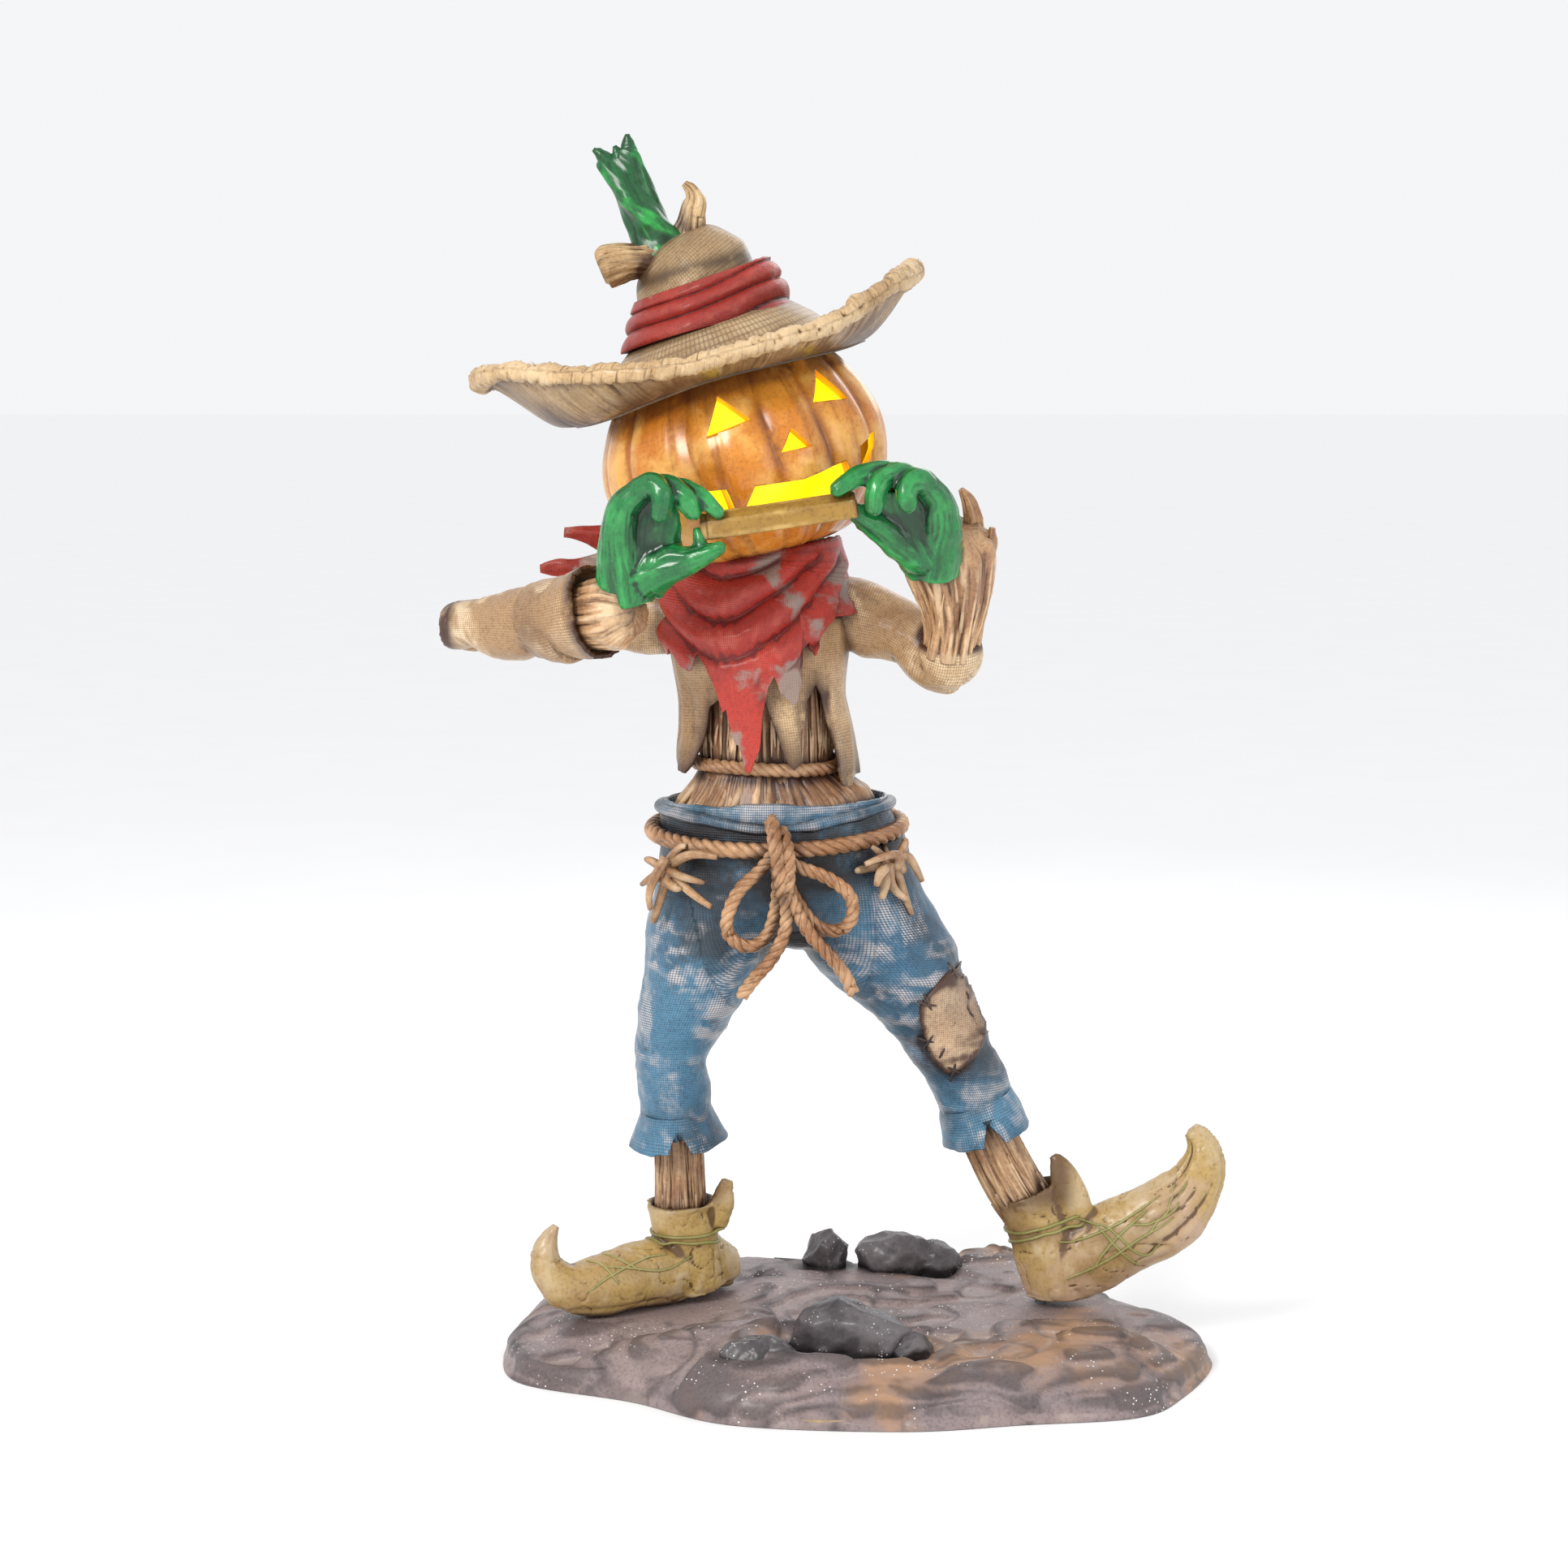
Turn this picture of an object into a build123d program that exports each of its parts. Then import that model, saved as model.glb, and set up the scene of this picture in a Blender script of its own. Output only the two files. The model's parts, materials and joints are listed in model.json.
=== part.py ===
from build123d import *
from math import cos, radians, sin
import os

# Lit scarecrow figure: a life-size moulded statue that plays a mouth organ on a rock base.
# Thin moulded shells stand over a welded steel frame. The hat is the lid of the lantern head.
# Frame: +Z up, the figure faces -Y, origin under the base at the middle of its width.
# "right" and "left" are the figure's own, so its right hand is on the -X side.
# All sizes are in millimetres.

# ---------------------------------------------------------------- driving dimensions
WALL = 5.0  # moulded shells of the figure
BOARD_T = 12.0  # plywood board that closes the base
BASE_TOP = 66.0  # height of the flat ground under the shoes
ROD_R = 8.0  # leg and spine bars
ARM_ROD_R = 6.0
WIRE_R = 3.0
BELT_ROPE_R = 11.0
BOW_ROPE_R = 9.0

HEAD_CENTRE = (-154, -5, 1272)
HEAD_ROLL = 15.0  # the head leans to the figure's right
FACE_TURN = 21.5  # the face looks to the figure's left
HEAD_R = 198.0
HEAD_BOTTOM = -140.0
SHELL_T = 10.0  # wall of the pumpkin
LID_R = 72.0  # opening under the hat
LID_Z = 138.0
WAIST_Z = 800.0
CROTCH_Z = 584.0
LEG_TOP_Z = 625.0
CROTCH_X = -95.0


def head_vector(x, y, z):
    """A direction given in the head's own frame."""
    roll = radians(HEAD_ROLL)
    return Vector(x * cos(roll) - z * sin(roll), y, x * sin(roll) + z * cos(roll))


HEAD = Plane(origin=HEAD_CENTRE, x_dir=head_vector(1, 0, 0), z_dir=head_vector(0, 0, 1))
HEAD_AXIS = Axis(HEAD.origin, HEAD.z_dir)


def upright(degrees=0.0):
    """A plane through the head's axis, turned about it: x is the radius and y the height."""
    turn = radians(degrees)
    return Plane(
        origin=HEAD_CENTRE,
        x_dir=head_vector(cos(turn), sin(turn), 0),
        z_dir=head_vector(sin(turn), -cos(turn), 0),
    )


FACE = upright(FACE_TURN)


def in_head(x, y, z):
    """A point given in the head's own frame."""
    return tuple(HEAD.from_local_coords(Vector(x, y, z)))


# ---------------------------------------------------------------- shared forms
def path_planes(points):
    """Planes across a path, one at each point, facing along it."""
    planes = []
    for i, point in enumerate(points):
        before = Vector(points[max(i - 1, 0)])
        after = Vector(points[min(i + 1, len(points) - 1)])
        along = (after - before).normalized()
        planes.append(Plane(origin=point, x_dir=Vector(0, 1, 0).cross(along), z_dir=along))
    return planes


def limb(points, radii, shrink=0.0):
    """A closed body lofted through ellipses along a path; each pair of radii is (across, deep)."""
    with BuildPart() as body:
        for plane, (across, deep) in zip(path_planes(points), radii):
            with BuildSketch(plane):
                Ellipse(across - shrink, deep - shrink)
        loft()
    return body.part


def stretched(points, reach, ends):
    """The path with its open ends pushed outwards, so that a hollow cuts right through them."""
    longer = [Vector(p) for p in points]
    if "start" in ends:
        longer[0] += (longer[0] - longer[1]).normalized() * reach
    if "end" in ends:
        longer[-1] += (longer[-1] - longer[-2]).normalized() * reach
    return [tuple(p) for p in longer]


def shell(points, radii, wall=WALL, ends=("start", "end")):
    """A moulded tube: a limb hollowed to an even wall, open at the ends that are named."""
    with BuildPart() as tube:
        add(limb(points, radii))
        add(limb(stretched(points, wall, ends), radii, wall), mode=Mode.SUBTRACT)
    return tube.part


def bar(points, radius, bend):
    """A round bar, wire or cast rope along straight runs joined by tangent arcs."""
    with BuildPart() as rod:
        with BuildLine() as route:
            if len(points) > 2:
                FilletPolyline(*points, radius=bend)
            else:
                Line(*points)
        with BuildSketch(Plane(route.line @ 0, z_dir=route.line % 0)):
            Circle(radius)
        sweep(path=route.line)
    return rod.part


def ring(plane, across, deep, radius):
    """A cast rope laid round an ellipse on the given plane."""
    with BuildPart() as rope:
        with BuildLine(plane) as loop:
            EllipticalCenterArc((0, 0), across, deep, arc_size=360)
        start = Plane(loop.line @ 0, z_dir=loop.line % 0)
        with BuildSketch(start):
            Circle(radius)
        sweep(path=loop.line)
    return rope.part


def prism(plane, corners, depth):
    """A straight-sided block over a polygon on the given plane, used as a cutter."""
    with BuildPart() as block:
        with BuildSketch(plane):
            with BuildLine():
                Polyline(*corners, close=True)
            make_face()
        extrude(amount=depth)
    return block.part


def write(part, name):
    part.label = name
    export_step(part, f"parts/{name}.step")


os.makedirs("parts", exist_ok=True)

# ---------------------------------------------------------------- base
GROUND_OUTLINE = [
    (-495, -20), (-462, -140), (-305, -222), (-170, -318), (55, -345), (215, -318), (370, -288),
    (440, -205), (500, -50), (465, 60), (395, 160), (300, 290), (235, 350), (100, 340), (-60, 350),
    (-180, 372), (-300, 330), (-400, 250), (-455, 160), (-478, 60),
]
GROUND_OUTSIDE = [(0, 0.985), (20, 1.0), (48, 0.93), (BASE_TOP, 0.80)]
GROUND_INSIDE = [(-1, 0.965), (20, 0.975), (42, 0.90), (BASE_TOP - 8, 0.77)]


def ground(levels):
    """The rock mound, lofted through copies of its outline at the given heights and scales."""
    with BuildPart() as mound:
        for height, size in levels:
            with BuildSketch(Plane.XY.offset(height)):
                with BuildLine():
                    Spline(*[(x * size, y * size) for x, y in GROUND_OUTLINE], periodic=True)
                make_face()
        loft()
    return mound.part


mound = ground(GROUND_OUTSIDE)

# The recess in the back of the base, for the gland and the switch.
RECESS_X, RECESS_Z = -60.0, 28.0
RECESS_W, RECESS_H = 110.0, 28.0
RECESS_BACK, RECESS_MOUTH = 312.0, 420.0
RECESS_WALL = 3.0
GLAND_X, SWITCH_X = RECESS_X - 28, RECESS_X + 26
GLAND_BORE_R, GLAND_BODY_R, GLAND_LENGTH = 3.5, 6.0, 16.0
SWITCH_W, SWITCH_H = 19.0, 12.0

recess_plane = Plane(origin=(RECESS_X, RECESS_BACK, RECESS_Z), x_dir=(-1, 0, 0), z_dir=(0, 1, 0))
gland_plane = Plane(origin=(GLAND_X, RECESS_BACK, RECESS_Z), x_dir=(-1, 0, 0), z_dir=(0, 1, 0))
switch_plane = Plane(origin=(SWITCH_X, RECESS_BACK, RECESS_Z), x_dir=(-1, 0, 0), z_dir=(0, 1, 0))

with BuildPart() as recess_block:
    with BuildSketch(recess_plane):
        Rectangle(RECESS_W, RECESS_H)
    extrude(amount=RECESS_MOUTH - RECESS_BACK)

with BuildPart() as inlet_tray:
    add(recess_block.part)
    with BuildSketch(recess_plane.offset(RECESS_WALL)):
        Rectangle(RECESS_W - 2 * RECESS_WALL, RECESS_H - 2 * RECESS_WALL)
    extrude(amount=RECESS_MOUTH - RECESS_BACK, mode=Mode.SUBTRACT)
    with BuildSketch(gland_plane):
        Circle(GLAND_BODY_R)
    extrude(amount=RECESS_WALL, mode=Mode.SUBTRACT)
    with BuildSketch(switch_plane):
        Rectangle(SWITCH_W, SWITCH_H)
    extrude(amount=RECESS_WALL, mode=Mode.SUBTRACT)
    add(mound, mode=Mode.INTERSECT)
write(inlet_tray.part, "inlet_tray")

with BuildPart() as cable_gland:
    with BuildSketch(gland_plane.offset(RECESS_WALL - GLAND_LENGTH / 2)):
        Circle(GLAND_BODY_R)
    extrude(amount=GLAND_LENGTH)
    for offset in (RECESS_WALL, -RECESS_WALL):
        with BuildSketch(gland_plane.offset(offset)):
            RegularPolygon(9, 6)
        extrude(amount=RECESS_WALL)
    with BuildSketch(gland_plane.offset(-GLAND_LENGTH)):
        Circle(GLAND_BORE_R)
    extrude(amount=2 * GLAND_LENGTH, mode=Mode.SUBTRACT)
write(cable_gland.part, "cable_gland")

with BuildPart() as switch_frame:
    with BuildSketch(switch_plane.offset(-6)):
        Rectangle(SWITCH_W, SWITCH_H)
    extrude(amount=6 + RECESS_WALL)
    with BuildSketch(switch_plane.offset(RECESS_WALL)):
        Rectangle(SWITCH_W + 4, SWITCH_H + 4)
    extrude(amount=1.5)
    with BuildSketch(switch_plane.offset(-4)):
        Rectangle(SWITCH_W - 3, SWITCH_H - 3)
    extrude(amount=20, mode=Mode.SUBTRACT)
write(switch_frame.part, "switch_frame")

# The rocker rests tilted to its "off" side; it swings to the same tilt on the other side.
ROCKER_W, ROCKER_H = SWITCH_W - 5.5, SWITCH_H - 4
ROCKER_PIVOT, ROCKER_TILT = 1.0, radians(8)
rocker_plane = Plane(
    origin=(SWITCH_X, RECESS_BACK + ROCKER_PIVOT, RECESS_Z),
    x_dir=(-cos(ROCKER_TILT), -sin(ROCKER_TILT), 0),
    z_dir=(0, 0, -1),
)
with BuildPart() as switch_rocker:
    with BuildSketch(rocker_plane.offset(-ROCKER_H / 2)):
        with BuildLine():
            Polyline(
                (-ROCKER_W / 2, 5.5), (0, 4.2), (ROCKER_W / 2, 5.5), (ROCKER_W / 2, 0),
                (0, -3.6), (-ROCKER_W / 2, 0), close=True,
            )
        make_face()
    extrude(amount=ROCKER_H)
write(switch_rocker.part, "switch_rocker")

# Frame bars, which every shell is fitted over.
RIGHT_ANKLE, LEFT_ANKLE = (-248, 48), (268, 28)
HIP_PLATE_Z, HIP_PLATE_T = 700.0, 8.0
FOOT_BAR_T, FOOT_BAR_W = 8.0, 50.0
FOOT_BAR_Z = BOARD_T + FOOT_BAR_T
HEAD_PLATE_T, HEAD_PLATE_R = 6.0, 44.0



def leg_bar(points):
    """A leg bar whose ends are cut flat where they meet the foot bar and the hip plate."""
    with BuildPart() as leg:
        add(bar(stretched(points, 12, ("start", "end")), ROD_R, 50))
        split(bisect_by=Plane.XY.offset(FOOT_BAR_Z), keep=Keep.TOP)
        split(bisect_by=Plane.XY.offset(HIP_PLATE_Z), keep=Keep.BOTTOM)
    return leg.part


right_leg_bar = leg_bar(
    [(*RIGHT_ANKLE, FOOT_BAR_Z), (-248, 46, 200), (-257, 18, 430), (-215, 5, 560), (-150, 0, HIP_PLATE_Z)]
)
write(right_leg_bar, "right_leg_bar")

left_leg_bar = leg_bar(
    [
        (*LEFT_ANKLE, FOOT_BAR_Z), (262, 28, 170), (180, 22, 330), (125, 10, 455), (50, 5, 580),
        (-60, 0, HIP_PLATE_Z),
    ]
)
write(left_leg_bar, "left_leg_bar")

head_foot = in_head(0, 0, HEAD_BOTTOM)
with BuildPart() as spine_bar:
    add(bar([(-118, 0, HIP_PLATE_Z), (-124, 0, 900), (-114, 0, 1060), head_foot], ROD_R, 60))
    split(bisect_by=Plane.XY.offset(HIP_PLATE_Z + HIP_PLATE_T), keep=Keep.TOP)
    split(bisect_by=HEAD.offset(HEAD_BOTTOM - HEAD_PLATE_T), keep=Keep.BOTTOM)
write(spine_bar.part, "spine_bar")

SHOULDER_Y = ROD_R + ARM_ROD_R
right_arm_bar = bar(
    [(-116, SHOULDER_Y, 1046), (-330, SHOULDER_Y, 1045), (-528, -2, 1041), (-345, -188, 1066)],
    ARM_ROD_R, 22,
)
write(right_arm_bar, "right_arm_bar")

left_arm_bar = bar(
    [(-112, SHOULDER_Y, 1050), (0, SHOULDER_Y, 1050), (122, -42, 1000), (114, -130, 1110)],
    ARM_ROD_R, 22,
)
write(left_arm_bar, "left_arm_bar")

lamp_wire = bar(
    [
        (GLAND_X, RECESS_BACK - GLAND_LENGTH / 2, RECESS_Z), (GLAND_X, 225, RECESS_Z), (-150, 120, RECESS_Z + 10),
        (-232, 70, 75), (-248, 66, 180), (-257, 36, 430), (-215, 23, 560), (-146, 17, 690), (-124, 18, 780),
        (-126, 20, 900), (-120, 32, 1000), in_head(0, 34, HEAD_BOTTOM - 40), in_head(0, 33, HEAD_BOTTOM + SHELL_T),
    ],
    WIRE_R, 14,
)
write(lamp_wire, "lamp_wire")

with BuildPart() as hip_plate:
    with BuildSketch(Plane.XY.offset(HIP_PLATE_Z)):
        with Locations((-106, 0)):
            RectangleRounded(170, 60, 10)
    extrude(amount=HIP_PLATE_T)
    add(lamp_wire, mode=Mode.SUBTRACT)
write(hip_plate.part, "hip_plate")

FOOT_BOLT_X = (-210, -60, 90, 230)
FOOT_BOLT_R, FOOT_BOLT_HEAD_R, FOOT_BOLT_HEAD_H = 5.0, 9.0, 6.0
foot_bolt_plane = Plane.XY.offset(FOOT_BAR_Z)
foot_bar_y = (RIGHT_ANKLE[1] + LEFT_ANKLE[1]) / 2

with BuildPart() as foot_bar:
    with BuildSketch(Plane.XY.offset(BOARD_T)):
        with Locations((10, foot_bar_y)):
            RectangleRounded(600, FOOT_BAR_W, 8)
    extrude(amount=FOOT_BAR_T)
    with Locations(*[(x, foot_bar_y, FOOT_BAR_Z) for x in FOOT_BOLT_X]):
        Hole(FOOT_BOLT_R, depth=FOOT_BAR_T)
write(foot_bar.part, "foot_bar")

with BuildPart() as foot_bolts:
    with BuildSketch(foot_bolt_plane):
        with Locations(*[(x, foot_bar_y) for x in FOOT_BOLT_X]):
            RegularPolygon(FOOT_BOLT_HEAD_R, 6)
    extrude(amount=FOOT_BOLT_HEAD_H)
    with BuildSketch(foot_bolt_plane):
        with Locations(*[(x, foot_bar_y) for x in FOOT_BOLT_X]):
            Circle(FOOT_BOLT_R - 0.2)
    extrude(amount=-(FOOT_BAR_Z - 2))
write(foot_bolts.part, "foot_bolts")

with BuildPart() as base_board:
    with BuildSketch():
        with BuildLine():
            Spline(*[(x * 0.955, y * 0.955) for x, y in GROUND_OUTLINE], periodic=True)
        make_face()
    extrude(amount=BOARD_T)
    with Locations(*[(x, foot_bar_y, BOARD_T) for x in FOOT_BOLT_X]):
        Hole(FOOT_BOLT_R, depth=BOARD_T - 2)
write(base_board.part, "base_board")

with BuildPart() as base_shell:
    add(mound)
    add(ground(GROUND_INSIDE), mode=Mode.SUBTRACT)
    add(recess_block.part, mode=Mode.SUBTRACT)
    add(right_leg_bar, mode=Mode.SUBTRACT)
    add(left_leg_bar, mode=Mode.SUBTRACT)
    add(lamp_wire, mode=Mode.SUBTRACT)
write(base_shell.part, "base_shell")

# (middle, half width, half depth, height, sides, turn) of each stone
FRONT_STONES = [((-6, -178), 88, 52, 66, 9, 10), ((-132, -238), 48, 24, 32, 7, 25)]
REAR_STONES = [((-38, 236), 38, 34, 52, 10, 0), ((76, 226), 74, 44, 62, 9, 15)]
STONE_LEVELS = [(-14, 0.98), (0.30, 1.0), (0.72, 0.78), (1.0, 0.42)]


def stone(middle, half_w, half_d, height, sides, spin):
    """A faceted stone standing in the ground."""
    with BuildPart() as rock:
        for level, size in STONE_LEVELS:
            corners = []
            for k in range(sides):
                angle = radians(spin + 360 * k / sides)
                corners.append((middle[0] + half_w * size * cos(angle), middle[1] + half_d * size * sin(angle)))
            with BuildSketch(Plane.XY.offset(BASE_TOP + (level if level < 0 else level * height))):
                with BuildLine():
                    Polyline(*corners, close=True)
                make_face()
        loft(ruled=True)
    return rock.part


for name, group in (("front_stones", FRONT_STONES), ("rear_stones", REAR_STONES)):
    with BuildPart() as stones:
        for form in group:
            add(stone(*form))
        add(mound, mode=Mode.SUBTRACT)
    write(stones.part, name)

# ---------------------------------------------------------------- legs and shoes
RIGHT_SHANK = ([(-253, 24, 372), (-250, 36, 300), (-248, 46, 200), (-248, 50, 120)], [(30, 30), (31, 31), (33, 33), (36, 36)])
LEFT_SHANK = (
    [(158, 18, 392), (184, 22, 322), (222, 26, 245), (256, 28, 178), (268, 28, 120)],
    [(31, 31), (33, 33), (35, 35), (38, 38), (38, 38)],
)
write(shell(*RIGHT_SHANK), "right_shank")
write(shell(*LEFT_SHANK), "left_shank")


def shoe(foot, ankle, tongue, shank, bars):
    """A pointed shoe standing flat on the ground, with a socket for the shank."""
    with BuildPart() as casting:
        add(limb(*foot))
        add(limb(*ankle))
        add(limb(*tongue))
        split(bisect_by=Plane.XY.offset(BASE_TOP), keep=Keep.TOP)
        add(limb(*shank), mode=Mode.SUBTRACT)
        for piece in bars:
            add(piece, mode=Mode.SUBTRACT)
    return casting.part


RIGHT_FOOT = (
    [
        (-170, 110, 102), (-225, 72, 106), (-300, 15, 102), (-370, -36, 100), (-422, -56, 116), (-438, -60, 152),
        (-418, -56, 200),
    ],
    [(30, 28), (44, 42), (44, 42), (40, 38), (27, 28), (17, 20), (9, 10)],
)
RIGHT_ANKLE_FORM = ([(-234, 62, 62), (-240, 55, 140), (-246, 49, 212)], [(56, 52), (50, 48), (51, 48)])
RIGHT_TONGUE = ([(-196, 40, 180), (-186, 32, 215), (-180, 28, 244)], [(15, 9), (17, 10), (11, 7)])
LEFT_FOOT = (
    [
        (280, 24, 112), (330, 16, 138), (385, 8, 170), (438, 3, 206), (480, 0, 248), (490, 0, 290),
        (468, 0, 324),
    ],
    [(46, 42), (56, 46), (52, 44), (44, 38), (28, 26), (17, 16), (8, 8)],
)
LEFT_ANKLE_FORM = (
    [(288, 24, 62), (286, 25, 120), (262, 27, 190), (243, 27, 238)],
    [(46, 42), (52, 46), (50, 46), (47, 45)],
)
LEFT_TONGUE = ([(312, 8, 196), (300, 4, 236), (284, 2, 272)], [(20, 14), (20, 14), (12, 9)])

right_shoe = shoe(RIGHT_FOOT, RIGHT_ANKLE_FORM, RIGHT_TONGUE, RIGHT_SHANK, [right_leg_bar, lamp_wire])
left_shoe = shoe(LEFT_FOOT, LEFT_ANKLE_FORM, LEFT_TONGUE, LEFT_SHANK, [left_leg_bar])
write(right_shoe, "right_shoe")
write(left_shoe, "left_shoe")

# ---------------------------------------------------------------- trousers
HIPS = (
    [(-112, 0, WAIST_Z), (-111, 0, 760), (-102, 0, 700), (-90, 0, LEG_TOP_Z - 30)],
    [(162, 124), (161, 122), (180, 128), (188, 114)],
)
RIGHT_LEG = (
    [(-190, 0, 660), (-206, 3, 600), (-224, 6, 540), (-257, 14, 440), (-255, 22, 365), (-251, 27, 325), (-250, 28, 303)],
    [(95, 108), (90, 102), (74, 84), (53, 62), (50, 58), (60, 66), (73, 77)],
)
LEFT_LEG = (
    [(-6, 0, 668), (20, 2, 615), (72, 5, 550), (126, 10, 455), (162, 18, 385), (176, 21, 345), (185, 23, 316)],
    [(98, 108), (95, 102), (80, 86), (57, 64), (53, 58), (56, 60), (64, 66)],
)
hips_block = limb(*HIPS)
with BuildPart() as trouser_hips:
    add(shell(*HIPS))
    split(bisect_by=Plane.XY.offset(LEG_TOP_Z), keep=Keep.TOP)
write(trouser_hips.part, "trouser_hips")

with BuildPart() as trouser_right_leg:
    add(shell(*RIGHT_LEG))
    split(bisect_by=Plane.XY.offset(LEG_TOP_Z), keep=Keep.BOTTOM)
    split(bisect_by=Plane.YZ.offset(CROTCH_X), keep=Keep.BOTTOM)
    add(prism(Plane.XZ, [(-264, 290), (-259, 338), (-244, 290)], 120), mode=Mode.SUBTRACT)
write(trouser_right_leg.part, "trouser_right_leg")

with BuildPart() as trouser_left_leg:
    add(shell(*LEFT_LEG))
    split(bisect_by=Plane.XY.offset(LEG_TOP_Z), keep=Keep.BOTTOM)
    split(bisect_by=Plane.YZ.offset(CROTCH_X), keep=Keep.TOP)
    add(prism(Plane.XZ, [(196, 290), (192, 348), (214, 300)], 120), mode=Mode.SUBTRACT)
write(trouser_left_leg.part, "trouser_left_leg")

PATCH_T = 3.0
PATCH_CORNERS = [(98, 512), (135, 556), (176, 500), (172, 452), (134, 424), (108, 462)]
with BuildPart() as knee_patch:
    add(limb(*LEFT_LEG, shrink=-PATCH_T))
    add(limb(*LEFT_LEG), mode=Mode.SUBTRACT)
    add(prism(Plane.XZ, PATCH_CORNERS, 160), mode=Mode.INTERSECT)
write(knee_patch.part, "knee_patch")

STITCH_T, STITCH_W = 5.0, 3.6
STITCHES = [
    ((86, 522), (118, 520)), ((128, 570), (140, 544)), ((88, 470), (114, 462)), ((94, 450), (118, 474)),
    ((130, 408), (138, 438)), ((122, 428), (148, 414)), ((158, 532), (182, 540)), ((166, 470), (188, 462)),
]
with BuildPart() as patch_stitches:
    with BuildSketch(Plane.XZ):
        for start, end in STITCHES:
            middle = ((start[0] + end[0]) / 2, (start[1] + end[1]) / 2)
            run = Vector(end[0] - start[0], end[1] - start[1])
            with Locations(Location((middle[0], middle[1], 0), (0, 0, Vector(1, 0).get_signed_angle(run)))):
                SlotOverall(run.length, STITCH_W)
    extrude(amount=160)
    add(limb(*LEFT_LEG, shrink=-STITCH_T), mode=Mode.INTERSECT)
    add(limb(*LEFT_LEG), mode=Mode.SUBTRACT)
    add(knee_patch.part, mode=Mode.SUBTRACT)
write(patch_stitches.part, "patch_stitches")

# ---------------------------------------------------------------- rope belt and bow
BELT_TILT = 0.083
belt_plane = Plane(origin=(-110, 0, 757), x_dir=(1, 0, 0.02), z_dir=(0, -BELT_TILT, 1))
with BuildPart() as belt_rope:
    add(ring(belt_plane, 161 + BELT_ROPE_R, 123 + BELT_ROPE_R, BELT_ROPE_R))
    add(hips_block, mode=Mode.SUBTRACT)
write(belt_rope.part, "belt_rope")

BOW_Y = -143.0
KNOT = (-112, -154, 746)
with BuildPart() as belt_knot:
    add(limb([(-112, -152, 774), (-112, -156, 762), (-112, -156, 738), (-112, -152, 718)], [(10, 8), (19, 15), (19, 15), (10, 8)]))
    add(hips_block, mode=Mode.SUBTRACT)
    add(belt_rope.part, mode=Mode.SUBTRACT)
write(belt_knot.part, "belt_knot")

BOW_LOOPS = {
    "right_bow_loop": [(-126, 728), (-166, 692), (-178, 640), (-148, 614), (-116, 640), (-112, 700)],
    "left_bow_loop": [(-96, 730), (-38, 712), (-8, 672), (-26, 636), (-62, 648), (-100, 706)],
}
for name, route in BOW_LOOPS.items():
    with BuildPart() as bow_loop:
        add(bar([(x, BOW_Y, z) for x, z in route], BOW_ROPE_R, 14))
        add(belt_knot.part, mode=Mode.SUBTRACT)
        add(belt_rope.part, mode=Mode.SUBTRACT)
        add(hips_block, mode=Mode.SUBTRACT)
        if name == "left_bow_loop":
            add(right_loop, mode=Mode.SUBTRACT)
    write(bow_loop.part, name)
    right_loop = bow_loop.part

TAIL_Y = BOW_Y - 2 * BOW_ROPE_R
BOW_TAILS = {
    "right_bow_tail": [(-112, 716), (-98, 668), (-100, 622), (-128, 586), (-156, 548)],
    "left_bow_tail": [(-96, 700), (-74, 644), (-36, 600), (-8, 556)],
}
right_tail = None
for name, route in BOW_TAILS.items():
    with BuildPart() as bow_tail:
        add(bar([(x, TAIL_Y, z) for x, z in route], BOW_ROPE_R, 14))
        add(belt_knot.part, mode=Mode.SUBTRACT)
        if right_tail is not None:
            add(right_tail, mode=Mode.SUBTRACT)
    write(bow_tail.part, name)
    right_tail = bow_tail.part

# Straw pushed out of the hip pockets: (root, tip) of each tapered bundle.
POCKET_STRAW = {
    "right_pocket_straw": [
        ((-262, -84, 726), (-196, -132, 732)), ((-262, -86, 712), (-202, -134, 668)),
        ((-270, -70, 700), (-282, -74, 636)), ((-276, -60, 726), (-294, -60, 712)),
    ],
    "left_pocket_straw": [
        ((54, -84, 712), (0, -118, 712)), ((58, -80, 720), (84, -84, 640)),
        ((52, -82, 706), (40, -104, 668)), ((60, -70, 738), (48, -64, 752)),
    ],
}
for name, bundles in POCKET_STRAW.items():
    with BuildPart() as straw:
        for root, tip in bundles:
            middle = tuple((a + b) / 2 for a, b in zip(root, tip))
            add(limb([root, middle, tip], [(10, 10), (8, 8), (5, 5)]))
        add(hips_block, mode=Mode.SUBTRACT)
        add(belt_rope.part, mode=Mode.SUBTRACT)
        add(limb(*RIGHT_LEG), mode=Mode.SUBTRACT)
        add(limb(*LEFT_LEG), mode=Mode.SUBTRACT)
    write(straw.part, name)

# ---------------------------------------------------------------- body and shirt
TORSO = (
    [(-110, 0, 722), (-112, 0, 762), (-118, 0, 802), (-122, 0, 846), (-124, 0, 940), (-130, 0, 1030), (-120, 0, 1092)],
    [(130, 100), (139, 106), (128, 98), (91, 78), (90, 78), (98, 78), (60, 54)],
)
SHIRT = (
    [(-123, 0, 838), (-124, 0, 872), (-130, 0, 940), (-134, 2, 1030), (-132, 2, 1072), (-122, 0, 1104)],
    [(126, 110), (122, 106), (116, 98), (128, 102), (116, 94), (78, 72)],
)
SCARF = (
    [(-124, 0, 838), (-125, 0, 872), (-130, 0, 940), (-136, 0, 1040), (-134, -2, 1090), (-124, -4, 1132)],
    [(138, 122), (134, 118), (128, 110), (140, 114), (134, 112), (112, 104)],
)
torso_block = limb(*TORSO)
with BuildPart() as straw_torso:
    add(shell(*TORSO))
    add(right_arm_bar, mode=Mode.SUBTRACT)
    add(left_arm_bar, mode=Mode.SUBTRACT)
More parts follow.
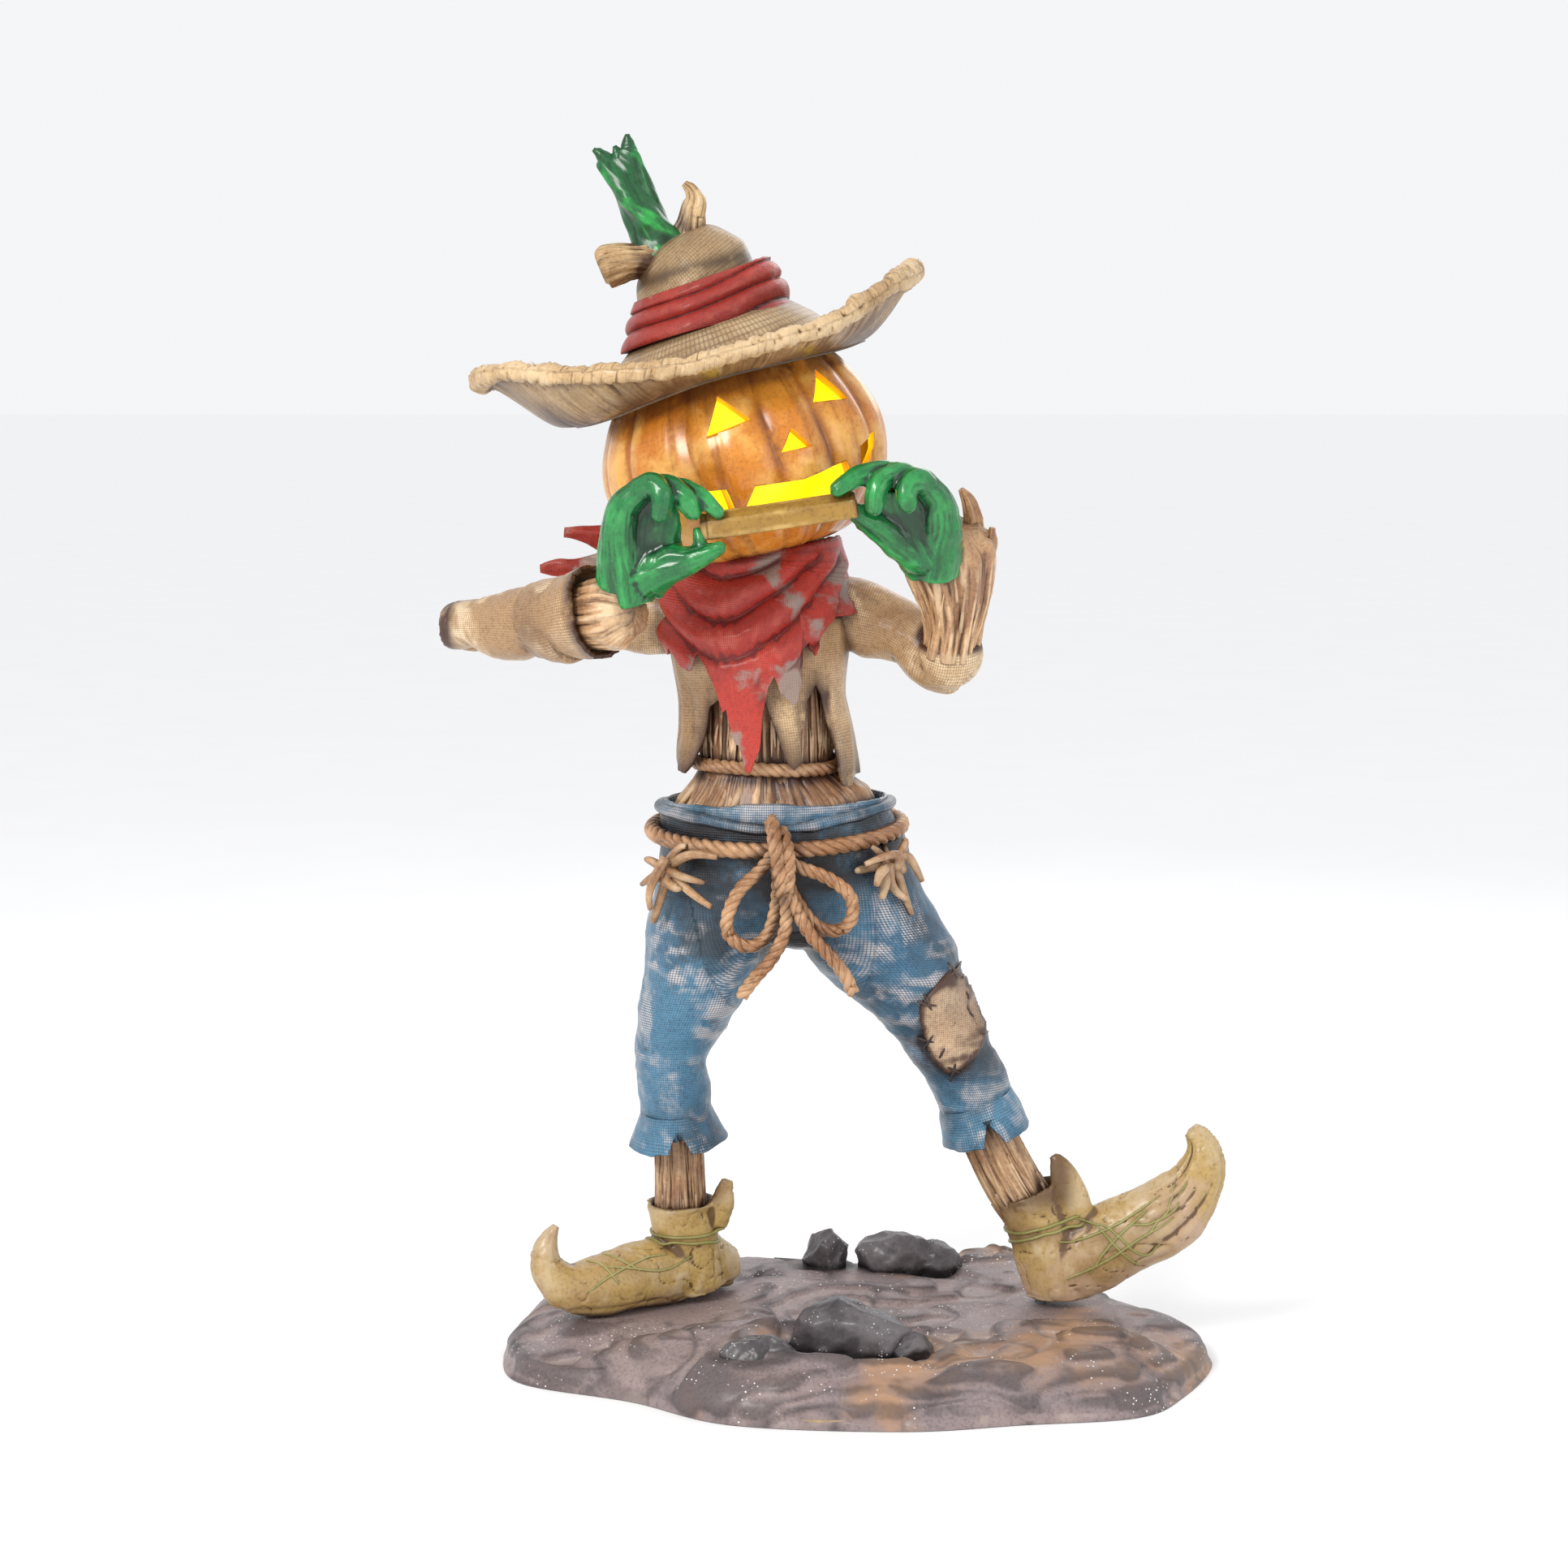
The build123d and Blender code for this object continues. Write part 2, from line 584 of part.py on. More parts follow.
write(straw_torso.part, "straw_torso")

WAIST_ROPE_R = 9.0
with BuildPart() as waist_rope:
    add(ring(Plane(origin=(-122, 0, 846)), 91 + WAIST_ROPE_R, 78 + WAIST_ROPE_R, WAIST_ROPE_R))
    add(torso_block, mode=Mode.SUBTRACT)
write(waist_rope.part, "waist_rope")

# The pumpkin, needed here to shape the collar round it.
PUMPKIN_OUTSIDE = [(LID_R, LID_Z), (80, LID_Z), (140, 118), (183, 55), (HEAD_R, -5), (182, -72), (128, -124), (64, HEAD_BOTTOM)]
with BuildPart() as head_block:
    with BuildSketch(upright()):
        with BuildLine():
            Spline(*PUMPKIN_OUTSIDE[1:], tangents=[(1, 0), (-1, 0)])
            Polyline(PUMPKIN_OUTSIDE[-1], (0, HEAD_BOTTOM), (0, LID_Z), PUMPKIN_OUTSIDE[1])
        make_face()
    revolve(axis=HEAD_AXIS)

FRONT_DEPTH = 160.0
SHIRT_FRONT_GAPS = [
    [(-222, 830), (-206, 934), (-168, 952), (-110, 930), (-98, 870), (-88, 845), (-78, 848), (-68, 930), (-40, 936), (-28, 830)],
]
with BuildPart() as shirt:
    add(shell(*SHIRT, wall=4.0))
    for gap in SHIRT_FRONT_GAPS:
        add(prism(Plane.XZ, gap, FRONT_DEPTH), mode=Mode.SUBTRACT)
    for piece in (right_arm_bar, left_arm_bar, head_block.part, torso_block, waist_rope.part):
        add(piece, mode=Mode.SUBTRACT)
write(shirt.part, "shirt")

HEM = [
    (-300, 1046), (-275, 1046), (-259, 1002), (-226, 989), (-218, 1013), (-202, 997), (-194, 926), (-177, 877),
    (-159, 842), (-141, 877), (-123, 959), (-112, 975), (-98, 946), (-87, 935), (-76, 959), (-74, 1013),
    (-65, 1019), (-57, 1000), (-30, 1046), (20, 1060), (20, 830), (-300, 830),
]
with BuildPart() as neckerchief:
    add(shell(*SCARF, wall=4.0))
    add(prism(Plane.XZ, HEM, FRONT_DEPTH), mode=Mode.SUBTRACT)
    add(prism(Plane.XZ.offset(-FRONT_DEPTH), [(-300, 830), (20, 830), (20, 1046), (-140, 1000), (-300, 1046)], FRONT_DEPTH), mode=Mode.SUBTRACT)
    for piece in (right_arm_bar, left_arm_bar, head_block.part):
        add(piece, mode=Mode.SUBTRACT)
write(neckerchief.part, "neckerchief")
scarf_block = limb(*SCARF)
round_scarf = limb(*SCARF, shrink=-0.5)  # the sleeves stop just short of the neckerchief
round_shirt = limb(*SHIRT, shrink=-0.5)

SCARF_TAILS = [
    ([(-232, 62, 1128), (-330, 80, 1146), (-408, 82, 1158)], [(16, 9), (17, 8), (8, 6)]),
    ([(-236, 60, 1092), (-340, 78, 1114), (-442, 82, 1108)], [(16, 9), (15, 8), (8, 6)]),
]
with BuildPart() as scarf_tails:
    for tail in SCARF_TAILS:
        add(limb(*tail))
    add(scarf_block, mode=Mode.SUBTRACT)
    add(head_block.part, mode=Mode.SUBTRACT)
write(scarf_tails.part, "scarf_tails")

# ---------------------------------------------------------------- arms
RIGHT_ELBOW = (-532, -4, 1040)
RIGHT_UPPER = ([(-222, 12, 1046), (-330, 18, 1046), (-450, 12, 1043), (-550, 0, 1040)], [(50, 46), (45, 42), (40, 38), (33, 32)])
RIGHT_LOWER = (
    [(-560, 12, 1038), (-500, -48, 1044), (-430, -108, 1052), (-368, -166, 1064), (-338, -190, 1072)],
    [(32, 31), (42, 36), (52, 44), (57, 50), (62, 56)],
)
right_mitre = Plane(origin=RIGHT_ELBOW, z_dir=(-0.335, -0.94, 0))

with BuildPart() as right_upper_sleeve:
    add(shell(*RIGHT_UPPER, ends=("start",)))
    split(bisect_by=right_mitre, keep=Keep.BOTTOM)
    add(round_shirt, mode=Mode.SUBTRACT)
    add(round_scarf, mode=Mode.SUBTRACT)
write(right_upper_sleeve.part, "right_upper_sleeve")

with BuildPart() as right_lower_sleeve:
    add(shell(*RIGHT_LOWER, ends=("end",)))
    split(bisect_by=right_mitre, keep=Keep.TOP)
write(right_lower_sleeve.part, "right_lower_sleeve")

with BuildPart() as right_forearm:
    add(limb([(-452, -92, 1049), (-390, -146, 1058), (-340, -192, 1066)], [(30, 28), (38, 36), (44, 42)]))
    with Locations((-322, -206, 1070)):
        Sphere(45)
    add(right_arm_bar, mode=Mode.SUBTRACT)
write(right_forearm.part, "right_forearm")

LEFT_UPPER = (
    [(-20, 14, 1058), (40, 0, 1040), (100, -32, 1004), (150, -48, 990)],
    [(50, 46), (45, 44), (42, 42), (36, 38)],
)
with BuildPart() as left_sleeve:
    add(shell(*LEFT_UPPER, ends=("start",)))
    add(round_shirt, mode=Mode.SUBTRACT)
    add(round_scarf, mode=Mode.SUBTRACT)
    add(left_arm_bar, mode=Mode.SUBTRACT)
write(left_sleeve.part, "left_sleeve")

LEFT_FORE = (
    [(124, -62, 1008), (128, -82, 1062), (122, -112, 1118), (112, -140, 1166)],
    [(36, 34), (42, 38), (56, 48), (54, 46)],
)
with BuildPart() as left_forearm:
    add(limb(*LEFT_FORE))
    add(limb([(146, -118, 1150), (148, -126, 1190), (138, -134, 1228)], [(16, 14), (14, 12), (8, 8)]))
    add(limb(*LEFT_UPPER), mode=Mode.SUBTRACT)
    add(left_arm_bar, mode=Mode.SUBTRACT)
write(left_forearm.part, "left_forearm")

# ---------------------------------------------------------------- mouth organ and hands
ORGAN_CENTRE = (-107, -244, 1199)
ORGAN_L, ORGAN_D, ORGAN_H, ORGAN_BEVEL = 206.0, 34.0, 36.0, 9.0
ORGAN_TILT = 8.5
organ_plane = Plane(
    origin=ORGAN_CENTRE,
    x_dir=(cos(radians(ORGAN_TILT)), 0, sin(radians(ORGAN_TILT))),
    z_dir=(-sin(radians(ORGAN_TILT)), 0, cos(radians(ORGAN_TILT))),
)
with BuildPart() as harmonica:
    with BuildSketch(organ_plane.offset(-ORGAN_H / 2)):
        Rectangle(ORGAN_L, ORGAN_D)
    extrude(amount=ORGAN_H)
    long_edges = harmonica.edges().filter_by(Axis(ORGAN_CENTRE, organ_plane.x_dir))
    chamfer(long_edges, ORGAN_BEVEL)
write(harmonica.part, "harmonica")


def finger(points, radii):
    """A finger or thumb: a round tapered body with a ball at its tip."""
    with BuildPart() as digit:
        add(limb(points, [(r, r) for r in radii]))
        with Locations(points[-1]):
            Sphere(radii[-1] * 0.98)
    return digit.part


RIGHT_PALM = (
    [(-306, -226, 1082), (-300, -238, 1130), (-298, -250, 1180), (-296, -256, 1226)],
    [(40, 26), (46, 26), (40, 24), (36, 20)],
)
RIGHT_FINGERS = [
    ([(-310, -262, 1226), (-286, -274, 1250), (-262, -280, 1238), (-250, -278, 1206)], [14, 13, 13, 11]),
    ([(-284, -250, 1240), (-256, -258, 1252), (-232, -264, 1232), (-216, -266, 1206)], [13, 13, 13, 11]),
    ([(-270, -232, 1238), (-236, -240, 1246), (-208, -244, 1232), (-190, -244, 1224)], [12, 12, 11, 10]),
    ([(-272, -240, 1118), (-236, -250, 1140), (-204, -254, 1154), (-184, -252, 1160)], [24, 18, 14, 10]),
]
with BuildPart() as right_hand:
    add(limb(*RIGHT_PALM))
    for digit_form in RIGHT_FINGERS:
        add(finger(*digit_form))
    add(right_forearm.part, mode=Mode.SUBTRACT)
    add(harmonica.part, mode=Mode.SUBTRACT)
write(right_hand.part, "right_hand")

LEFT_PALM = (
    [(104, -160, 1146), (108, -184, 1176), (106, -204, 1206), (88, -222, 1236)],
    [(42, 28), (42, 28), (38, 26), (28, 20)],
)
LEFT_FINGERS = [
    ([(92, -222, 1236), (66, -248, 1250), (56, -264, 1236), (58, -266, 1208)], [13, 13, 12, 11]),
    ([(80, -216, 1240), (36, -246, 1254), (18, -258, 1238), (16, -260, 1204)], [13, 13, 12, 11]),
    ([(76, -204, 1244), (30, -232, 1258), (-4, -246, 1246), (-26, -250, 1232)], [13, 13, 12, 10]),
    ([(88, -196, 1168), (50, -220, 1172), (20, -236, 1186), (0, -244, 1196)], [22, 18, 14, 10]),
]
with BuildPart() as left_hand:
    add(limb(*LEFT_PALM))
    for digit_form in LEFT_FINGERS:
        add(finger(*digit_form))
    add(left_forearm.part, mode=Mode.SUBTRACT)
    add(harmonica.part, mode=Mode.SUBTRACT)
write(left_hand.part, "left_hand")

# ---------------------------------------------------------------- lantern head
EYE = [(72, 86), (47, 46), (104, 38)]
NOSE = [(0, 22), (-21, -6), (21, -8)]
SMILE = [
    (-138, -13), (-115, -31), (-99, -34), (-92, -63), (-80, -63), (-66, -40), (0, -48), (70, -40),
    (76, -62), (92, -58), (99, -27), (138, -13), (132, -34), (104, -60), (60, -80), (0, -88), (-60, -80), (-104, -60), (-132, -34),
]
MIRRORED_EYE = [(-x, z) for x, z in EYE]
CUT_DEPTH = 260.0
PUMPKIN_INSIDE = [(LID_R, LID_Z - SHELL_T), (132, 108), (173, 52), (HEAD_R - SHELL_T, -5), (172, -68), (122, -115), (60, HEAD_BOTTOM + SHELL_T)]
SCREW_R, SCREW_CIRCLE = 3.0, 36.0

with BuildPart() as pumpkin:
    with BuildSketch(upright()):
        with BuildLine():
            Spline(*PUMPKIN_OUTSIDE[1:], tangents=[(1, 0), (-1, 0)])
            Polyline(PUMPKIN_OUTSIDE[-1], (0, HEAD_BOTTOM), (0, HEAD_BOTTOM + SHELL_T), PUMPKIN_INSIDE[-1])
            Spline(*PUMPKIN_INSIDE[::-1], tangents=[(1, 0), (-1, 0)])
            Polyline(PUMPKIN_INSIDE[0], PUMPKIN_OUTSIDE[0], PUMPKIN_OUTSIDE[1])
        make_face()
    revolve(axis=HEAD_AXIS)
    for outline in (EYE, MIRRORED_EYE, NOSE, SMILE):
        add(prism(FACE, outline, CUT_DEPTH), mode=Mode.SUBTRACT)
    with BuildSketch(HEAD.offset(HEAD_BOTTOM)):
        with PolarLocations(SCREW_CIRCLE, 4, start_angle=45):
            Circle(SCREW_R)
    extrude(amount=SHELL_T, mode=Mode.SUBTRACT)
    add(lamp_wire, mode=Mode.SUBTRACT)
write(pumpkin.part, "pumpkin_head")

LINER_T, LINER_SPAN = 2.0, 150.0
liner_line = [(158, 88), (170, 40), (176, -5), (165, -58), (124, -112)]
with BuildPart() as light_liner:
    with BuildSketch(upright(FACE_TURN - 90 - LINER_SPAN / 2)):
        with BuildLine():
            Spline(*liner_line)
            Line(liner_line[-1], (liner_line[-1][0] - LINER_T, liner_line[-1][1]))
            Spline(*[(r - LINER_T, z) for r, z in liner_line[::-1]])
            Line((liner_line[0][0] - LINER_T, liner_line[0][1]), liner_line[0])
        make_face()
    revolve(axis=HEAD_AXIS, revolution_arc=LINER_SPAN)
    add(pumpkin.part, mode=Mode.SUBTRACT)
write(light_liner.part, "light_liner")

with BuildPart() as head_plate:
    with BuildSketch(HEAD.offset(HEAD_BOTTOM - HEAD_PLATE_T)):
        Circle(HEAD_PLATE_R)
    extrude(amount=HEAD_PLATE_T)
    with BuildSketch(HEAD.offset(HEAD_BOTTOM - HEAD_PLATE_T)):
        with PolarLocations(SCREW_CIRCLE, 4, start_angle=45):
            Circle(SCREW_R)
    extrude(amount=HEAD_PLATE_T, mode=Mode.SUBTRACT)
    add(lamp_wire, mode=Mode.SUBTRACT)
write(head_plate.part, "head_plate")

with BuildPart() as head_screws:
    with BuildSketch(HEAD.offset(HEAD_BOTTOM + SHELL_T)):
        with PolarLocations(SCREW_CIRCLE, 4, start_angle=45):
            Circle(SCREW_R * 1.8)
    extrude(amount=4)
    with BuildSketch(HEAD.offset(HEAD_BOTTOM + SHELL_T)):
        with PolarLocations(SCREW_CIRCLE, 4, start_angle=45):
            Circle(SCREW_R - 0.1)
    extrude(amount=-(SHELL_T + HEAD_PLATE_T + 4))
write(head_screws.part, "head_screws")

# The lamp: an upright screw-cap globe lamp in a holder on the floor of the head.
HOLDER_Z = HEAD_BOTTOM + SHELL_T
HOLDER_R, HOLDER_H, HOLDER_FOOT_R = 20.0, 44.0, 27.0
CAP_R, CAP_H, GLOBE_R = 13.2, 27.0, 34.0
GLOBE_Z = HOLDER_Z + HOLDER_H + 44

with BuildPart() as lamp_holder:
    with BuildSketch(HEAD.offset(HOLDER_Z)):
        Circle(HOLDER_FOOT_R)
    extrude(amount=5)
    with BuildSketch(HEAD.offset(HOLDER_Z)):
        Circle(HOLDER_R)
    extrude(amount=HOLDER_H)
    with BuildSketch(HEAD.offset(HOLDER_Z + HOLDER_H)):
        Circle(CAP_R + 0.6)
    extrude(amount=-(CAP_H + 4), mode=Mode.SUBTRACT)
write(lamp_holder.part, "lamp_holder")

with BuildPart() as lamp_cap:
    with BuildSketch(HEAD.offset(HOLDER_Z + HOLDER_H - CAP_H)):
        Circle(CAP_R)
    extrude(amount=CAP_H)
    with BuildSketch(HEAD.offset(HOLDER_Z + HOLDER_H - CAP_H)):
        Circle(5)
    extrude(amount=-2)
write(lamp_cap.part, "lamp_cap")

with BuildPart() as lamp_globe:
    with BuildSketch(upright()):
        with BuildLine():
            neck = HOLDER_Z + HOLDER_H
            Line((0, neck), (CAP_R, neck))
            Spline((CAP_R, neck), (18, neck + 10), (GLOBE_R, GLOBE_Z), (0, GLOBE_Z + GLOBE_R), tangents=[(0, 1), (-1, 0)])
            Line((0, GLOBE_Z + GLOBE_R), (0, neck))
        make_face()
    revolve(axis=HEAD_AXIS)
write(lamp_globe.part, "lamp_globe")

# ---------------------------------------------------------------- hat
HAT_T = 8.0
BRIM_MIDDLE_X, BRIM_HALF_W, BRIM_HALF_D = -18.0, 317.0, 268.0
BRIM_HOLE = (196.0, 184.0)
BRIM_UNDERSIDE = [(-342, 184), (-300, 124), (-231, 100), (-110, 106), (-20, 112), (80, 110), (190, 104), (262, 130), (306, 184)]
CROWN = [((0, 0, 110), 206, 192), ((0, 0, 150), 150, 142), ((3, 0, 186), 106, 104), ((10, 0, 235), 93, 91), ((0, 0, 268), 75, 72), ((-20, 0, 296), 50, 46), ((-34, 0, 312), 26, 24)]


def crown_form(shrink, drop):
    """The hat's skirt and crown as one body, shrunk and lowered for its hollow."""
    with BuildPart() as form:
        for (x, y, z), across, deep in CROWN:
            with BuildSketch(Plane(origin=in_head(x, y, z - drop), x_dir=HEAD.x_dir, z_dir=HEAD.z_dir)):
                Ellipse(across - shrink, deep - shrink)
        loft()
    return form.part


crown_block = crown_form(0, 0)
hat_section = Plane(origin=in_head(0, BRIM_HALF_D, 0), x_dir=HEAD.x_dir, z_dir=-HEAD.y_dir)
with BuildPart() as hat:
    with BuildSketch(hat_section):
        with BuildLine():
            Spline(*BRIM_UNDERSIDE)
            Line(BRIM_UNDERSIDE[-1], (BRIM_UNDERSIDE[-1][0], BRIM_UNDERSIDE[-1][1] + HAT_T))
            Spline(*[(x, z + HAT_T) for x, z in BRIM_UNDERSIDE[::-1]])
            Line((BRIM_UNDERSIDE[0][0], BRIM_UNDERSIDE[0][1] + HAT_T), BRIM_UNDERSIDE[0])
        make_face()
    extrude(amount=2 * BRIM_HALF_D)
    with BuildSketch(Plane(origin=in_head(BRIM_MIDDLE_X, 0, 60), x_dir=HEAD.x_dir, z_dir=HEAD.z_dir)):
        Ellipse(BRIM_HALF_W, BRIM_HALF_D)
    extrude(amount=160, mode=Mode.INTERSECT)
    with BuildSketch(HEAD.offset(60)):
        Ellipse(*BRIM_HOLE)
    extrude(amount=160, mode=Mode.SUBTRACT)
    add(crown_block)
    add(crown_form(HAT_T, 6), mode=Mode.SUBTRACT)

STEM = (
    [in_head(-38, 0, 296), in_head(-50, 0, 340), in_head(-56, 0, 390), in_head(-64, 0, 430), in_head(-50, 0, 455)],
    [(27, 24), (26, 23), (21, 19), (19, 16), (9, 8)],
)
TUFT = ([in_head(6, 0, 282), in_head(14, 0, 330), in_head(20, 0, 372)], [(24, 20), (18, 13), (7, 6)])
FLAP = ([in_head(-52, -10, 286), in_head(-84, -14, 296), in_head(-118, -16, 292)], [(16, 16), (20, 18), (13, 12)])

with BuildPart() as hat_flap:
    add(limb(*FLAP))
    add(crown_block, mode=Mode.SUBTRACT)
    add(limb(*STEM), mode=Mode.SUBTRACT)
with hat:
    add(hat_flap.part)
write(hat.part, "hat")

with BuildPart() as hat_stem:
    add(limb(*STEM))
    add(crown_block, mode=Mode.SUBTRACT)
write(hat_stem.part, "hat_stem")

with BuildPart() as hat_tuft:
    add(limb(*TUFT))
    add(crown_block, mode=Mode.SUBTRACT)
    add(limb(*STEM), mode=Mode.SUBTRACT)
write(hat_tuft.part, "hat_tuft")

BAND_T = 5.0
with BuildPart() as hat_band:
    for (x, z), across in [((2, 178), 118), ((6, 205), 109), ((11, 240), 96)]:
        with BuildSketch(Plane(origin=in_head(x, 0, z), x_dir=HEAD.x_dir, z_dir=HEAD.z_dir)):
            Ellipse(across + BAND_T, across - 2 + BAND_T)
    loft()
    add(crown_block, mode=Mode.SUBTRACT)
write(hat_band.part, "hat_band")

RING_GAP, RING_T, RING_DROP = 0.5, 6.0, 14.0
with BuildPart() as lid_ring:
    with BuildSketch(upright()):
        with BuildLine():
            Polyline(
                (LID_R - 10, LID_Z - RING_DROP), (LID_R - 1, LID_Z - RING_DROP), (LID_R - 1, LID_Z + RING_GAP),
                (146, LID_Z + RING_GAP), (146, LID_Z + RING_T), (LID_R - 10, LID_Z + RING_T), close=True,
            )
        make_face()
    revolve(axis=HEAD_AXIS)
    add(hat.part, mode=Mode.SUBTRACT)
write(lid_ring.part, "lid_ring")
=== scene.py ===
"""Looks of the lit scarecrow figure. Lists of places and sizes are in millimetres, in the row frame."""

import json
from math import cos, pi, radians, sin, tau

import bpy
import numpy as np
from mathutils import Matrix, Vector
from mathutils.bvhtree import BVHTree


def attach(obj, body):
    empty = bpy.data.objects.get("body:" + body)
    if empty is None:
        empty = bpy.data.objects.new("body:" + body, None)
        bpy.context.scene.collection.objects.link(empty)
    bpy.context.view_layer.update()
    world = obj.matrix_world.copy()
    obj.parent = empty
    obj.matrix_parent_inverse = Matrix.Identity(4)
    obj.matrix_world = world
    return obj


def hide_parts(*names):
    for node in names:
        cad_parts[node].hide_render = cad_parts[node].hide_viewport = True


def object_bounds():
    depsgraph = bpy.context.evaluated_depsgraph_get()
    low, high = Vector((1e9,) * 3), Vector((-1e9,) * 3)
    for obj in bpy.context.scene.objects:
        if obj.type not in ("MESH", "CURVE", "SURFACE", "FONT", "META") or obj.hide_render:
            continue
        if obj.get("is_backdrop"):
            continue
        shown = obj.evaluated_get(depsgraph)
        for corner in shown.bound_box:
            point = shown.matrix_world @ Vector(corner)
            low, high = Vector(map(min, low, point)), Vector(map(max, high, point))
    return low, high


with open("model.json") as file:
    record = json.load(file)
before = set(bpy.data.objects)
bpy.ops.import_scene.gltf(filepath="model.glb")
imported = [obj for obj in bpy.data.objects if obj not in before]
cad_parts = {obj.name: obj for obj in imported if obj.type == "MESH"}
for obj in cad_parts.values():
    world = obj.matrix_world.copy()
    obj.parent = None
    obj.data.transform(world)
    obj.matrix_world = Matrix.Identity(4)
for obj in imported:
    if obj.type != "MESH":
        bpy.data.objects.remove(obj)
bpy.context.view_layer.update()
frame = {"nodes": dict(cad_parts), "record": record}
rng = np.random.default_rng(11)
MM = 0.001
UP = np.array([0.0, 0.0, 1.0])

# ------------------------------------------------------------------ camera, floor and light
cam = bpy.data.objects.new("camera", bpy.data.cameras.new("camera"))
bpy.context.scene.collection.objects.link(cam)
cam.location = (-0.10, -4.5, 1.40)
cam.rotation_euler = (radians(82.6), 0, 0)
cam.data.lens, cam.data.sensor_width = 75, 36
bpy.context.scene.camera = cam


def area_light(name, place, aim, size, power, colour=(1, 1, 1)):
    """A soft square light at place, turned towards aim; both are in metres."""
    lamp = bpy.data.lights.new(name, "AREA")
    lamp.size, lamp.energy, lamp.color = size, power, colour
    ob = bpy.data.objects.new(name, lamp)
    ob.location = place
    ob.rotation_euler = (Vector(aim) - Vector(place)).to_track_quat("-Z", "Y").to_euler()
    bpy.context.scene.collection.objects.link(ob)


area_light("key", (-2.6, -3.6, 3.4), (0, 0, 0.9), 1.5, 135, (1.0, 0.98, 0.95))
area_light("fill", (3.2, -3.0, 2.0), (0, 0, 0.8), 2.2, 26, (0.95, 0.98, 1.0))
area_light("back", (1.2, 3.2, 2.9), (0, 0, 1.0), 2.0, 20)
world = bpy.data.worlds.new("studio")
world.use_nodes = True
sky = world.node_tree.nodes["Background"].inputs
sky["Color"].default_value, sky["Strength"].default_value = (0.98, 0.985, 1.0, 1), 0.93
bpy.context.scene.world = world
bpy.context.scene.view_settings.view_transform = "Standard"


# ------------------------------------------------------------------ materials
class Net:
    """Builds one material's node tree."""

    def __init__(self, name):
        self.mat = bpy.data.materials.new(name)
        self.mat.use_nodes = True
        self.tree = self.mat.node_tree
        self.tree.nodes.clear()

    def node(self, kind, settings=None, **inputs):
        made = self.tree.nodes.new("ShaderNode" + kind)
        for key, value in (settings or {}).items():
            setattr(made, key, value)
        for key, value in inputs.items():
            self.plug(made.inputs[key.replace("_", " ")], value)
        return made

    def plug(self, socket, value):
        if isinstance(value, bpy.types.NodeSocket):
            self.tree.links.new(value, socket)
        else:
            socket.default_value = value

    def calc(self, operation, a, b=0.0, clamp=False):
        made = self.node("Math", {"operation": operation, "use_clamp": clamp})
        self.plug(made.inputs[0], a)
        self.plug(made.inputs[1], b)
        return made.outputs[0]

    def times(self, a, b, clamp=False):
        return self.calc("MULTIPLY", a, b, clamp)

    def plus(self, a, b):
        return self.calc("ADD", a, b)

    def mix(self, amount, a, b, how="MIX"):
        made = self.node("Mix", {"data_type": "RGBA", "blend_type": how, "clamp_result": True})
        for socket, value in zip((made.inputs[0], made.inputs[6], made.inputs[7]), (amount, a, b)):
            if isinstance(value, tuple):
                value = (*value, 1)
            self.plug(socket, value)
        return made.outputs[2]

    def noise(self, where, scale, detail=3.0, rough=0.55, stretch=None):
        if stretch:
            where = self.node("Mapping", Vector=where, Scale=stretch).outputs[0]
        made = self.node("TexNoise", Vector=where, Scale=scale, Detail=detail, Roughness=rough)
        return made.outputs["Fac"]

    def ramp(self, value, low, high):
        """0 below low, 1 above high, smooth between; low may be the larger one."""
        made = self.node("MapRange", {"interpolation_type": "SMOOTHSTEP"}, Value=value)
        made.inputs["From Min"].default_value = min(low, high)
        made.inputs["From Max"].default_value = max(low, high)
        made.inputs["To Min"].default_value = 0.0 if low < high else 1.0
        made.inputs["To Max"].default_value = 1.0 if low < high else 0.0
        return made.outputs[0]

    def attribute(self, name, which="Fac"):
        return self.node("Attribute", {"attribute_name": name}).outputs[which]

    def weave(self, fabric, pitch):
        """Crossed threads, 1 on top of a thread and 0 in the gaps; pitch is in metres."""
        split = self.node("SeparateXYZ", Vector=fabric)
        waves = []
        for axis in (0, 1):
            turn = self.calc("MULTIPLY", split.outputs[axis], pi / pitch)
            waves.append(self.calc("ABSOLUTE", self.calc("SINE", turn)))
        low = self.calc("MULTIPLY", waves[0], waves[1])
        return self.calc("POWER", low, 0.6)

    def finish(self, surface):
        self.plug(self.node("OutputMaterial").inputs["Surface"], surface)
        return self.mat


# Scales of the paint's noises, in lumps per metre, from the finest to the broadest.
FINE_GRAIN, HOLLOW_GRAIN, GLOSS_GRAIN, DARKENING_GRAIN, SPECK_GRAIN, RUB_GRAIN = 220, 45, 30, 16, 14, 11
DRY_BRUSH_STRETCH = (11, 11, 5)
FIBRE_SQUASH = 0.055  # how much longer a fibre is than it is wide
RELIEF_GAIN, HOLLOW_GAIN = 1.3, 0.9
BUMP_HEIGHT = 0.0012  # metres


